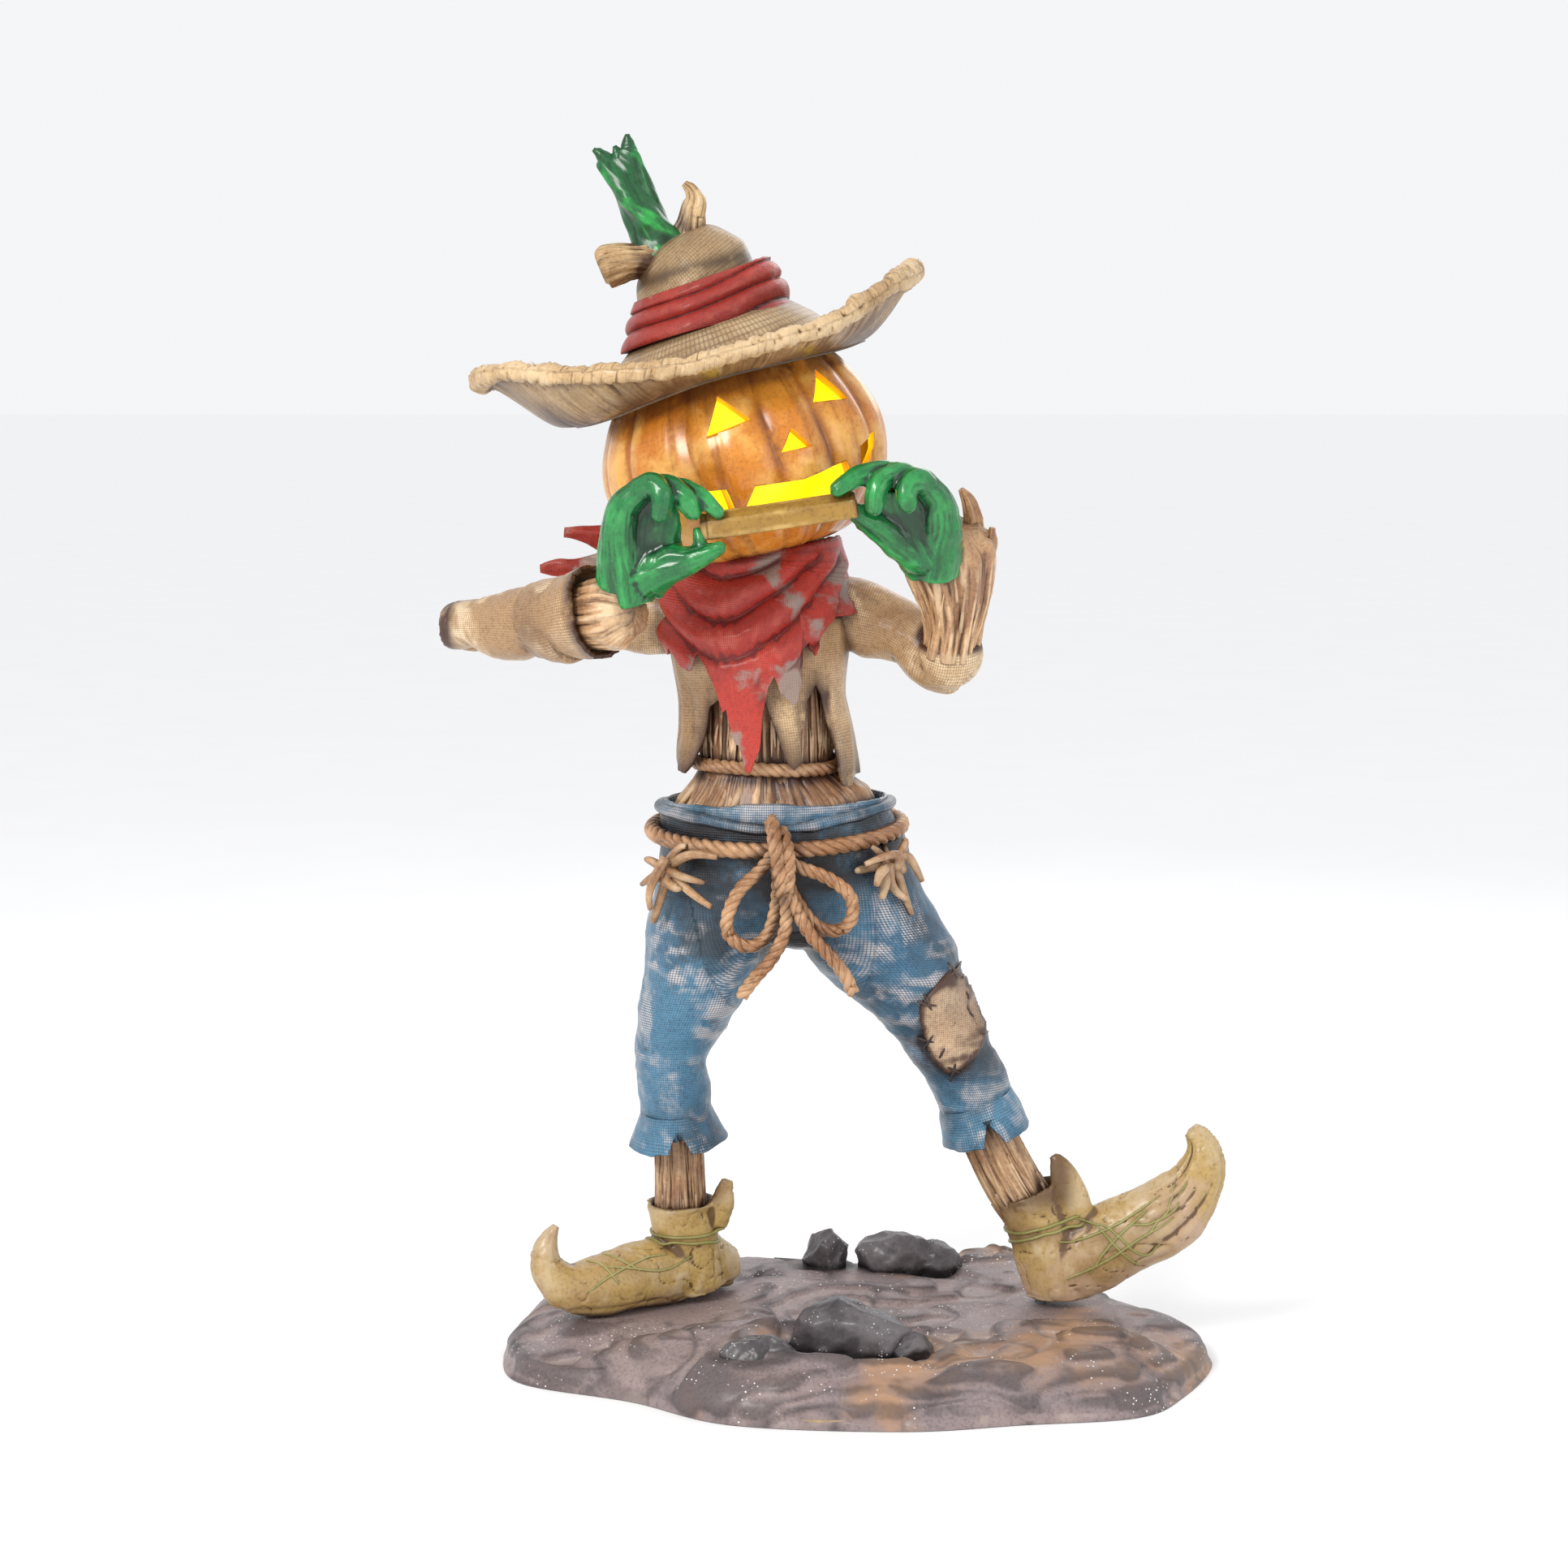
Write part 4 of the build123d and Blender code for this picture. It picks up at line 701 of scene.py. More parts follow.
# ------------------------------------------------------------------ the head's own frame
HEAD_CENTRE = np.array([-154.0, -5.0, 1272.0])
ROLL, FACE_TURN = radians(15), radians(21.5)
HEAD_X = np.array([cos(ROLL), 0, sin(ROLL)])
HEAD_Z = np.array([-sin(ROLL), 0, cos(ROLL)])
HEAD_Y = np.array([0.0, 1.0, 0.0])


def in_head(p):
    """Points given in the head's frame, in the row frame."""
    p = np.asarray(p, float)
    return HEAD_CENTRE + p[..., 0:1] * HEAD_X + p[..., 1:2] * HEAD_Y + p[..., 2:3] * HEAD_Z


def from_head(p):
    """Points given in the row frame, in the head's frame."""
    return (p - HEAD_CENTRE) @ np.stack([HEAD_X, HEAD_Y, HEAD_Z], 1)


def head_rows(rows):
    rows = np.asarray(rows, float)
    return np.hstack([in_head(rows[:, :3]), rows[:, 3:]])


# ------------------------------------------------------------------ pumpkin head
OUTSIDE = [
    (80, 138), (140, 118), (183, 55), (198, -5), (182, -72), (128, -124), (64, -140), (30, -141),
    (3, -141),
]
INSIDE = [(3, -126), (58, -125), (116, -107), (163, -62), (178, -5), (165, 49), (128, 104), (72, 124)]
LOBES, LOBE_DEPTH = 13, 8.5
PUMPKIN_SIDES, PUMPKIN_WIDE = 416, 190  # points round it, and its widest radius in mm
outer, _ = smooth([(r, 0, z) for r, z in OUTSIDE], 110)
inner, _ = smooth([(r, 0, z) for r, z in INSIDE], 60)
profile = np.vstack([outer, inner])
a, k = np.meshgrid(np.linspace(0, tau, PUMPKIN_SIDES, endpoint=False), np.arange(len(profile)))
radius, height = profile[k, 0], profile[k, 2]
middle = np.concatenate([np.sin(np.linspace(0.02, pi, len(outer))) ** 0.5, np.zeros(len(inner))])[k]
uneven = a + 0.09 * np.sin(2 * a + 1) + 0.05 * np.sin(5 * a) + 0.02 * np.sin(height / 30)
valley = np.abs(np.sin(uneven * LOBES / 2))
around = np.stack([np.cos(a) * radius, np.sin(a) * radius, height], -1)
rib = ridges(a, height, PUMPKIN_WIDE, 13, 160, 3)
radius = radius - LOBE_DEPTH * middle * (1 - np.minimum(valley * 1.1, 1)) ** 1.4 + 0.5 * rib * middle
radius = radius + 2.0 * noise(around, 60, 4, 2) * middle
skin = in_head(np.stack([np.cos(a) * radius, np.sin(a) * radius, height], -1))
pumpkin_form = form(
    skin, [quads(len(profile), PUMPKIN_SIDES, round_rings=True)[:, ::-1]],
    np.stack([a * PUMPKIN_WIDE, height], -1), tau * PUMPKIN_WIDE,
)

EYE = [(72, 86), (47, 46), (104, 38)]
NOSE = [(0, 22), (-21, -6), (21, -8)]
SMILE = [
    (-138, -13), (-115, -31), (-99, -34), (-92, -63), (-80, -63), (-66, -40), (0, -48), (70, -40),
    (76, -62), (92, -58), (99, -27), (138, -13), (132, -34), (104, -60), (60, -80), (0, -88),
    (-60, -80),
    (-104, -60), (-132, -34),
]
face_x = cos(FACE_TURN) * HEAD_X + sin(FACE_TURN) * HEAD_Y
face_out = sin(FACE_TURN) * HEAD_X - cos(FACE_TURN) * HEAD_Y


def cutter(outline):
    """A straight prism over an outline on the face."""
    outline = np.array(outline, float)
    area = np.sum(outline[:, 0] * np.roll(outline[:, 1], -1) - np.roll(outline[:, 0], -1) * outline[:, 1])
    if area < 0:
        outline = outline[::-1]
    flat = HEAD_CENTRE + outline[:, :1] * face_x + outline[:, 1:] * HEAD_Z
    both = np.concatenate([flat + face_out * 60, flat + face_out * 260])
    count = len(outline)
    ring = np.arange(count)
    wall = np.stack([ring, np.roll(ring, -1), np.roll(ring, -1) + count, ring + count], 1)
    return form(both, [wall, ring[None, ::-1], (ring + count)[None]])


def carve(ob, cutters):
    """Cuts the prisms out of a piece and keeps the result; the cut walls take the glowing pumpkin_wall paint,
    a painted lamplight.
    """
    mesh = mesh_of(join(*cutters), "cutters")
    tool = bpy.data.objects.new("cutters", mesh)
    for paint in ("pumpkin", "pumpkin_wall"):
        mesh.materials.append(MATERIALS[paint])
    # The cut walls take the glowing paint: painted lamplight from the lamp inside.
    mesh.polygons.foreach_set("material_index", [1] * len(mesh.polygons))
    bpy.context.scene.collection.objects.link(tool)
    cut = ob.modifiers.new("face", "BOOLEAN")
    cut.operation, cut.object, cut.solver = "DIFFERENCE", tool, "EXACT"
    bpy.context.view_layer.update()
    made = bpy.data.meshes.new_from_object(ob.evaluated_get(bpy.context.evaluated_depsgraph_get()))
    ob.modifiers.clear()
    ob.data = made
    bpy.data.objects.remove(tool)


# Brown wash and painted shade in the valleys between the lobes, in patches.
patchy = 0.3 + 0.7 * step(noise(around, 95, 7, 2), -0.25, 0.4)
valley_shade_and_wash = (patchy * (1 - np.minimum(valley * 1.5, 1)) ** 1.5 * middle).ravel()
head = piece("pumpkin", pumpkin_form, "pumpkin", ["pumpkin_head"], hollow=40, reach=3.0, wash_and_shade=valley_shade_and_wash)
# Second paint of the pumpkin: the glowing cut walls, painted lamplight.
head.data.materials.append(MATERIALS["pumpkin_wall"])
carve(head, [cutter(o) for o in (EYE, [(-x, z) for x, z in EYE], NOSE, SMILE)])

LIT = [(3, -106), (50, -106), (104, -92), (144, -52), (158, -5), (147, 44), (112, 92), (60, 108)]
LIT_RINGS, LIT_SIDES, LIT_WIDE = 50, 120, 150
lit, _ = smooth([(r, 0, z) for r, z in LIT], LIT_RINGS)
a, k = np.meshgrid(np.linspace(0, tau, LIT_SIDES, endpoint=False), np.arange(LIT_RINGS))
lit_skin = in_head(np.stack([np.cos(a) * lit[k, 0], np.sin(a) * lit[k, 0], lit[k, 2]], -1))
lit_fabric = np.stack([a * LIT_WIDE, lit[k, 2]], -1)
lit_form = form(lit_skin, [quads(LIT_RINGS, LIT_SIDES)[:, ::-1]], lit_fabric, tau * LIT_WIDE)
piece("lit_diffuser", lit_form, "light_liner", ["light_liner"], thick=2.0)

# ------------------------------------------------------------------ hat
BRIM_MIDDLE, BRIM_W, BRIM_D = -18.0, 311.0, 262.0
UNDER_LINE = [
    (-342, 176), (-322, 155), (-283, 127), (-231, 100), (-175, 94), (-110, 100), (-20, 108), (80, 106),
    (190, 106), (262, 132), (306, 184),
]
RIM_LINE = [
    (-342, 176), (-322, 184), (-303, 190), (-253, 184), (-190, 162), (-127, 146), (-21, 130), (67, 134),
    (155, 139), (202, 150), (262, 172), (306, 188),
]
under_line, _ = smooth([(x, 0, z) for x, z in UNDER_LINE], 200)
rim_curve, _ = smooth([(x, 0, z) for x, z in RIM_LINE], 200)


def brim_point(angle, share, lift=0.0):
    """A point of the brim's underside: share is 0 at the middle and 1 at the rim."""
    x = BRIM_MIDDLE + BRIM_W * share * np.cos(angle)
    y = BRIM_D * share * np.sin(angle)
    low = np.interp(x, under_line[:, 0], under_line[:, 2])
    rim = np.interp(x, rim_curve[:, 0], rim_curve[:, 2]) - 10 * (np.sin(angle) > 0) * np.sin(angle) ** 2
    z = low + (rim - low) * np.clip((share - 0.70) / 0.30, 0, 1.2) ** 1.5
    return in_head(np.stack(np.broadcast_arrays(x, y, z + lift), -1))


def rim_wave(angle):
    """The uneven lie of the rim at each angle."""
    round_ = np.stack([0 * angle, np.cos(angle) * 3, np.sin(angle) * 3], -1)
    return 4.5 * noise(round_, 1, 8) + 1.5 * noise(round_ * 6, 1, 9)


BRIM_RINGS, BRIM_SIDES, BRIM_R = 60, 420, 300
WOVEN_R = 250  # the radius that the woven pattern is laid out at
angle, share = np.meshgrid(
    np.linspace(0, tau, BRIM_SIDES, endpoint=False), np.linspace(0.48, 1.0, BRIM_RINGS)
)
fibre = ridges(angle, share * BRIM_R, BRIM_R, 9, 120, 8) * (0.4 + 1.4 * step(share, 0.75, 0.98))
lift = rim_wave(angle) * step(share, 0.75, 1.0) + 1.1 * fibre
brim = form(
    brim_point(angle, share, lift), [quads(BRIM_RINGS, BRIM_SIDES)],
    np.stack([angle * WOVEN_R, share * BRIM_R], -1), tau * WOVEN_R,
)
CROWN = [
    (-6, 0, 116, 206, 192), (-6, 0, 128, 180, 172), (-7, 0, 150, 142, 140), (-6, 0, 184, 96, 96),
    (-2, 0, 228, 82, 83),
    (-8, 0, 250, 86, 85), (-18, 0, 276, 78, 74), (-28, 0, 298, 58, 54), (-33, 0, 312, 28, 26),
]


def tipped(one):
    """Tips the crown and its band: the brim runs up to them on the figure's left."""
    x, _, z = from_head(one["v"]).T
    top = np.clip((z - 166) / 83, 0, 1)
    rise = (1 - top) * 0.16 * (x + 122) + top * (0.098 * (x + 122) - 20)
    one["v"] = one["v"] + (rise * step(z, 120, 188))[:, None] * HEAD_Z
    return one


def crown_folds(angle, run, at):
    z = from_head(at)[..., 2]
    twist = np.sin(angle + 0.4 + (z - 235) / 26) ** 2
    return 4.5 * (twist - 0.6) * step(z, 240, 272) + 2.0 * noise(at, 45, 6, 3)


CROWN_RINGS, CROWN_SIDES = 110, 180


def on_brim(one, proud=1.5):
    """Lays the foot of the crown on the brim: nothing of it hangs below or stands off."""
    local = from_head(one["v"])
    brim_grid = brim["v"].reshape(BRIM_RINGS, BRIM_SIDES, 3)
    top = from_head(brim_grid[::2, ::5].reshape(-1, 3))
    radius = np.hypot(local[:, 0], local[:, 1])
    low = np.flatnonzero((local[:, 2] < 200) | (radius > 128))
    for part in np.array_split(low, 12):
        gap = ((local[part, None, :2] - top[None, :, :2]) ** 2).sum(2)
        lowest = top[gap.argmin(1), 2] + proud
        above = np.maximum(local[part, 2] - lowest, 0)
        local[part, 2] = lowest + above * step(radius[part], 188, 134)
    grid = local[: CROWN_RINGS * CROWN_SIDES].reshape(CROWN_RINGS, CROWN_SIDES, 3)
    for _ in range(8):
        grid[:] = (2 * grid + np.roll(grid, 1, 1) + np.roll(grid, -1, 1)) / 4
        grid[1:-1] = (2 * grid[1:-1] + grid[:-2] + grid[2:]) / 4
    one["v"] = in_head(local)
    return one


crown = on_brim(tipped(tube(head_rows(CROWN), CROWN_RINGS, CROWN_SIDES, (False, True), crown_folds)))
# Painted shade on the crown just above the band's top edge.
crown_shade = 0.9 * bump_at(from_head(crown["v"])[:, 2], 258, 10)
# Dark wash all over the brim, with painted shade growing towards the crown.
blotched = 0.7 + 0.4 * noise(brim["v"], 60, 14)
brim_wash_and_shade = ((0.5 + 0.6 * step(share.ravel(), 1.0, 0.7)) * blotched).clip(0, 1)
brim_ob = piece("hat_brim", brim, "hat_straw", ["hat"], "hat", thick=8.0, wash_and_shade=brim_wash_and_shade)
brim_ob.data.materials.append(MATERIALS["hat"])
brim_ob.modifiers["wall"].material_offset = 1
piece("hat_crown", crown, "hat", body="hat", thick=4.0, hollow=12, reach=2.2, wash_and_shade=crown_shade)

# The thick rolled edge, worked with short slanting grooves.
EDGE_SIDES = 26
bearing = np.linspace(0, tau, BRIM_SIDES, endpoint=False)
tips = np.abs(np.cos(bearing)) ** 9
edge_path = brim_point(bearing, 0.985 - 0.012 * tips, rim_wave(bearing) + 5)
edge_r = 11.5 + 2.5 * tips + 2.4 * noise(edge_path, 34, 10, 3)
edge = strands(edge_path[None], edge_r[None], EDGE_SIDES, 0.0, True)
edge_mid = np.repeat(edge_path, EDGE_SIDES, 0)
slant = np.tile(np.linspace(0, tau, EDGE_SIDES, endpoint=False), BRIM_SIDES)
run = np.repeat(bearing, EDGE_SIDES) * BRIM_R
slanting = np.stack([run / 9 + slant * 0.5, 0.35 * np.cos(slant), 0.35 * np.sin(slant)], 1)
groove = 1 - 2 * np.abs(noise(slanting, 1.0, 12, 2))
edge["v"] = edge_mid + (edge["v"] - edge_mid) * (1 + 0.26 * groove)[:, None]
edge["fab"] = np.stack([run + slant * 4, slant * 10], 1)
edge["turn"] = np.full(len(slant), tau * BRIM_R)
piece("hat_rim", edge, "hat_straw", body="hat", hollow=5, reach=1.3)


def fringe(count, inner, outer, thickness, lift, wild):
    """Straw strands lying across the rim of the brim."""
    start = rng.uniform(0, tau, count)
    t = np.linspace(0, 1, 6)
    begin, end = rng.uniform(*inner, count), rng.uniform(*outer, count)
    share = begin[:, None] + (end - begin)[:, None] * t
    angle = start[:, None] + rng.normal(0, wild, count)[:, None] * t
    rise = rng.uniform(*lift, count)[:, None] + rng.normal(0, 3.0, count)[:, None] * t**2
    wave = rim_wave(start)[:, None]
    radii = rng.uniform(*thickness, count)[:, None] * (1 - 0.75 * t**2)
    return strands(brim_point(angle, share, rise + wave), radii)


rim = join(
    fringe(260, (0.92, 0.95), (0.985, 1.004), (2.4, 4.0), (3, 11), 0.03),
    fringe(90, (0.95, 0.97), (1.0, 1.02), (2.0, 3.2), (0, 9), 0.05),
)
piece("hat_rim_straw", rim, "hat_straw", body="hat", hollow=2)

BAND = [
    (-4, 0, 164, 122, 121), (-2, 0, 182, 116, 115), (1, 0, 205, 110, 109), (4, 0, 228, 104, 102),
    (5, 0, 249, 96, 93),
]


def band_folds(angle, run, at):
    # The folds run higher and farther apart on the figure's left.
    rolls = np.abs(np.sin(run / 80 * pi * 2.4 - 0.9 * np.cos(angle) + 0.35 * np.sin(3 * angle)))
    return 8.0 * (rolls**0.8 - 0.45) + 1.4 * noise(at, 30, 9)


hat_band = tipped(tube(head_rows(BAND), 60, 240, (False, False), band_folds))
piece("hat_band_cloth", hat_band, "hat_band", ["hat_band"], "hat", 5.0, 8, 1.8)

STEM = [
    (-34, 0, 286, 36, 33), (-41, 0, 312, 32, 30), (-48, 0, 345, 28, 26), (-55, 0, 378, 27, 24),
    (-59, 0, 405, 28, 21),
    (-61, 0, 428, 29, 15), (-62, 0, 438, 22, 9),
]


def stem_skin(angle, run, at):
    twisted = angle + run / 48
    lobes = 3.6 * (np.cos(3 * twisted + 0.6 * np.sin(run / 30)) - 0.2)
    return lobes + 0.9 * ridges(twisted, run, 24, 12, 90, 2) + 1.5 * noise(at, 26, 3, 2)


prongs = [
    tube(head_rows(rows), 24, 24, (True, True), lambda a_, r_, p_: 1.2 * noise(p_, 9, 4))
    for rows in (
        [(-46, 0, 424, 13, 11), (-44, 2, 442, 10, 8), (-41, 2, 457, 3, 3)],
        [(-74, 0, 424, 13, 10), (-82, -2, 438, 9, 8), (-91, -2, 449, 3, 3)],
        [(-60, -3, 430, 9, 8), (-61, -4, 440, 6, 5), (-62, -4, 446, 3, 2)],
    )
]
stem_form = join(tube(head_rows(STEM), 90, 110, (True, True), stem_skin), *prongs)
piece("hat_stem_cast", stem_form, "stem", ["hat_stem"], "hat", hollow=12, reach=2.6)

TUFT = [
    (6, 0, 276, 40, 30), (5, 0, 304, 27, 22), (12, 0, 322, 19, 17), (19, 0, 338, 15, 13),
    (24, 0, 352, 11, 9),
    (22, 0, 364, 7, 6), (16, 0, 374, 3, 3),
]
tuft_form = join(
    tube(head_rows(TUFT), 60, 80, (True, True), straw_skin(3.4, 9, 70, 22, 4)),
    tube(head_rows([(22, -6, 326, 10, 8), (31, -8, 344, 8, 6), (30, -6, 360, 3, 3)]), 24, 24, (True, True)),
)
# Painted shade at the root of the tuft, where it meets the crown.
tuft_root_shade = 0.8 * step(from_head(tuft_form["v"])[:, 0], 16, 0)
piece("hat_tuft_cast", tuft_form, "hat_straw", ["hat_tuft"], "hat", hollow=6, wash_and_shade=tuft_root_shade)
FLAP = [
    (-30, -8, 276, 30, 24), (-56, -12, 284, 24, 20), (-78, -16, 290, 24, 20), (-98, -18, 293, 28, 23),
    (-116, -18, 293, 29, 24), (-124, -18, 292, 20, 17),
]
flap_form = tube(head_rows(FLAP), 60, 70, (True, True), straw_skin(3.2, 11, 50, 24, 7))
# Painted shade at the root of the flap, where it meets the crown.
flap_root_shade = 0.7 * step(from_head(flap_form["v"])[:, 0], -84, -66)
piece("hat_flap", flap_form, "hat_straw", body="hat", hollow=6, wash_and_shade=flap_root_shade)

# ------------------------------------------------------------------ base
OUTLINE = [
    (-495, -20), (-462, -140), (-305, -222), (-170, -318), (55, -345), (215, -318), (370, -288),
    (440, -205), (500, -50), (465, 60), (395, 160), (300, 290), (235, 350), (100, 340), (-60, 350),
    (-180, 372), (-300, 330), (-400, 250), (-455, 160), (-478, 60),
]
BASE_RINGS, BASE_SIDES, BASE_R = 130, 460, 450
rim_line, _ = smooth([(x, y, 0) for x, y in OUTLINE], BASE_SIDES, True)
# Share of the outline and height, from the middle out and down to the floor.
SECTION = [(0.0, 66), (0.5, 66), (0.80, 64), (0.90, 55), (0.965, 40), (1.0, 22), (1.004, 1)]
section, _ = smooth([(s * BASE_R, 0, z) for s, z in SECTION], BASE_RINGS)
ring_share, ring_z = section[:, 0] / BASE_R, section[:, 2]
ground = rim_line[None, :, :2] * ring_share[:, None, None]
ground = np.concatenate([ground, np.broadcast_to(ring_z[:, None, None], ground.shape[:2] + (1,))], -1)

# Soft lumps, cut into ledges at even heights, with cracks.
LEDGES = 3.2
drift = ground + 30 * noise(ground, 160, 20, 2)[..., None]
lumps = noise(drift * [0.7, 1.3, 1], 170, 21, 3)
level = (lumps + 1) * LEDGES
climb = step(level % 1, 0.72, 1.0)
ledge = (np.floor(level) + climb) / LEDGES - 1
crack_line = np.abs(noise(ground, 120, 25, 2))
hills = 7 * lumps + 24 * ledge + 1.1 * noise(ground, 26, 22, 3) - 3 * (1 - crack_line * 9).clip(0, 1)

# The ground is flat under the shoes and dished, with a bank, round the front stones.
FOOTPRINTS = [(-250, 40, 95), (-350, -20, 70), (290, 25, 80)]
calm = np.ones(hills.shape)
for x, y, r in FOOTPRINTS:
    calm = calm * step(np.hypot(ground[..., 0] - x, ground[..., 1] - y), r * 0.7, r * 1.5)
from_stones = ground[..., :2] - (-20, -190)
dish = np.exp(-((from_stones / (120, 75)) ** 2).sum(-1))
outward = unit(np.stack([ground[..., 0], ground[..., 1], 0 * hills], -1))
flatness = step(ring_z, 25, 62)[:, None]
away = np.hypot(from_stones[..., 0] / 128, from_stones[..., 1] / 74)
bank = bump_at(away + 0.12 * lumps, 1.12, 0.17)
ground[..., 2] += calm * flatness * (hills - 10 * dish + 15 * bank)
side_push = (1 - step(ring_z, 30, 64)[:, None]) * step(ring_z, 0, 12)[:, None]
ground += outward * (side_push * (5 * lumps + 7 * ledge + 1.2 * noise(ground, 24, 23) - 2))[..., None]
base_form = form(ground, [quads(BASE_RINGS, BASE_SIDES)], ground[..., :2])
# Painted shade on the faces of the ledges and in the cracks.
cracks = (1 - np.abs(noise(ground, 120, 25, 2)) * 7).clip(0, 1)
ledge_shade = (calm * (1.1 * climb * (1 - climb) + 0.55 * cracks)).clip(0, 0.8).ravel()
piece("rock_base", base_form, "ground", ["base_shell"], hollow=12, reach=3.0, wash_and_shade=ledge_shade)

STONES = {
    "front_stones": [
        ((-6, -178, 70), (86, 50, 58), 1), ((-130, -238, 66), (50, 28, 34), 2),
        ((60, -190, 62), (40, 34, 34), 6),
    ],
    "rear_stones": [
        ((-38, 236, 70), (37, 33, 44), 3), ((70, 226, 68), (66, 42, 52), 4),
        ((118, 222, 64), (40, 36, 34), 5),
    ],
}


FACETS = 16


def stone(centre, radii, seed):
    """A weathered stone: a ball cut back by flat facets."""
    one = ball((0, 0, 0), (1, 1, 1), 70, 110)
    away = unit(np.random.default_rng(seed).normal(0, 1, (FACETS, 3)))
    reach = 0.74 + 0.14 * np.random.default_rng(seed + 9).random(FACETS)
    over = (unit(one["v"]) @ away.T) / reach
    size = 1 / np.maximum(over.max(1), 1.0) ** 0.9
    v = one["v"] * size[:, None] ** 1.3 * radii * 1.08 + centre
    rough = 2.0 * noise(v, 16, seed, 3) + 6.0 * (0.3 - np.abs(noise(v, 42, seed + 4, 2))) + 2
    one["v"] = v + unit(one["v"]) * rough[:, None]
    one["fab"] = one["v"][:, :2]
    return one


for name, group in STONES.items():
    stones = join(*(stone(*one) for one in group))
    # Painted shade at the foot of the stones, where they sit in the ground.
    foot_shade = step(stones["v"][:, 2], 78, 62)
    piece(name + "_cast", stones, "stone", [name], hollow=12, reach=2.4, wash_and_shade=foot_shade)

# ------------------------------------------------------------------ shanks and shoes
RIGHT_SHANK = [
    (-253, 24, 372, 33, 32), (-250, 36, 300, 33, 33), (-248, 46, 200, 36, 35), (-248, 50, 150, 37, 37),
]
LEFT_SHANK = [
    (158, 18, 392, 34, 34), (184, 22, 322, 37, 36), (222, 26, 245, 40, 38), (256, 28, 190, 38, 38),
    (262, 28, 160, 36, 36),
]
SHANKS = {"right_shank": RIGHT_SHANK, "left_shank": LEFT_SHANK}
for name, rows in SHANKS.items():
    bundle = tube(rows, 90, 130, (True, True), straw_skin(4.2, 12, 130, 33, 2))
    piece(name + "_bundle", bundle, "straw", [name], hollow=7, wash_and_shade=0.25)

SHOES = {
    "right_shoe": dict(
        foot=[
            (-180, 106, 100, 30, 32), (-225, 72, 112, 46, 46), (-295, 18, 112, 47, 49),
            (-355, -26, 108, 44, 45),
            (-402, -50, 112, 34, 36), (-430, -58, 140, 25, 25), (-432, -58, 172, 18, 18),
            (-418, -55, 203, 7, 7),
        ],
        ankle=[
            (-236, 62, 80, 55, 52), (-240, 55, 140, 50, 48), (-246, 50, 190, 47, 45), (-247, 49, 210, 52, 48),
        ],
        tongue=[(-196, 40, 176, 15, 9), (-187, 32, 215, 17, 10), (-180, 28, 246, 9, 6)],
        collar=((-247, 49, 210), (0.0, 0.0, 1.0), 43),
        rings=[((-242, 54, 152), (0, 0, 1), 56, 6), ((-240, 56, 168), (0, 0.1, 1), 56, -7)],
        seams=[
            [(-262, -8, 150), (-300, -30, 146), (-342, -62, 130), (-372, -70, 112)],
            [(-230, 0, 140), (-270, -25, 128), (-322, -48, 140), (-352, -50, 136)],
            [(-300, -40, 132), (-322, -38, 142), (-352, -22, 138)],
            [(-332, -60, 118), (-350, -52, 134), (-376, -38, 136)],
        ],
    ),
    "left_shoe": dict(
        foot=[
            (280, 24, 112, 46, 42), (330, 16, 140, 59, 44), (385, 8, 172, 57, 43),
            (440, 3, 204, 54, 42),
            (476, 0, 240, 43, 33), (490, 0, 278, 31, 26), (487, 0, 306, 21, 18), (472, 0, 324, 12, 10),
        ],
        ankle=[(288, 24, 78, 46, 42), (286, 25, 120, 52, 46), (262, 27, 190, 50, 46), (245, 27, 232, 49, 46)],
        tongue=[(312, 4, 190, 28, 18), (304, 0, 232, 26, 16), (288, -2, 274, 17, 10), (278, -2, 290, 8, 6)],
        collar=((245, 27, 232), (-0.36, 0.0, 0.93), 42),
        rings=[((276, 26, 172), (-0.3, 0, 1), 56, 8), ((268, 26, 190), (-0.3, 0.1, 1), 56, -8)],
        seams=[
            [(312, -30, 200), (350, -34, 196), (404, -36, 150), (428, -28, 170)],
            [(330, -34, 205), (372, -34, 158), (404, -30, 128)],
            [(330, -34, 120), (362, -36, 172), (410, -30, 216)],
            [(290, -30, 168), (340, -36, 186), (392, -34, 214), (428, -26, 236)],
            [(382, -34, 196), (424, -32, 200), (452, -26, 226), (470, -18, 262)],
            [(408, -34, 180), (436, -32, 214), (450, -20, 252)],
            [(300, -30, 112), (352, -38, 140), (398, -36, 176), (446, -30, 204)],
        ],
    ),
}


def pressed(points, tree, lift, count, closed=False):
    """A smooth line pressed on a skin, lift mm proud of it."""
    line, _ = smooth(points, count, closed)
    hits = [tree.find_nearest(Vector(p)) for p in line]
    line = np.array([np.array(hit[0]) + np.array(hit[1]) * lift for hit in hits])
    for _ in range(3):
        line[1:-1] = (line[:-2] + 2 * line[1:-1] + line[2:]) / 4
    return line


def skin_tree(one):
    faces = [face for part in one["f"] for face in part.tolist()]
    return BVHTree.FromPolygons([Vector(p) for p in one["v"]], faces)


SOLE_Z = 67  # the shoes' soles are flattened to this height
LEATHER_R = 45  # the radius that the leather's grain is laid out at
LACE_STEPS, RING_STEPS = 44, 90


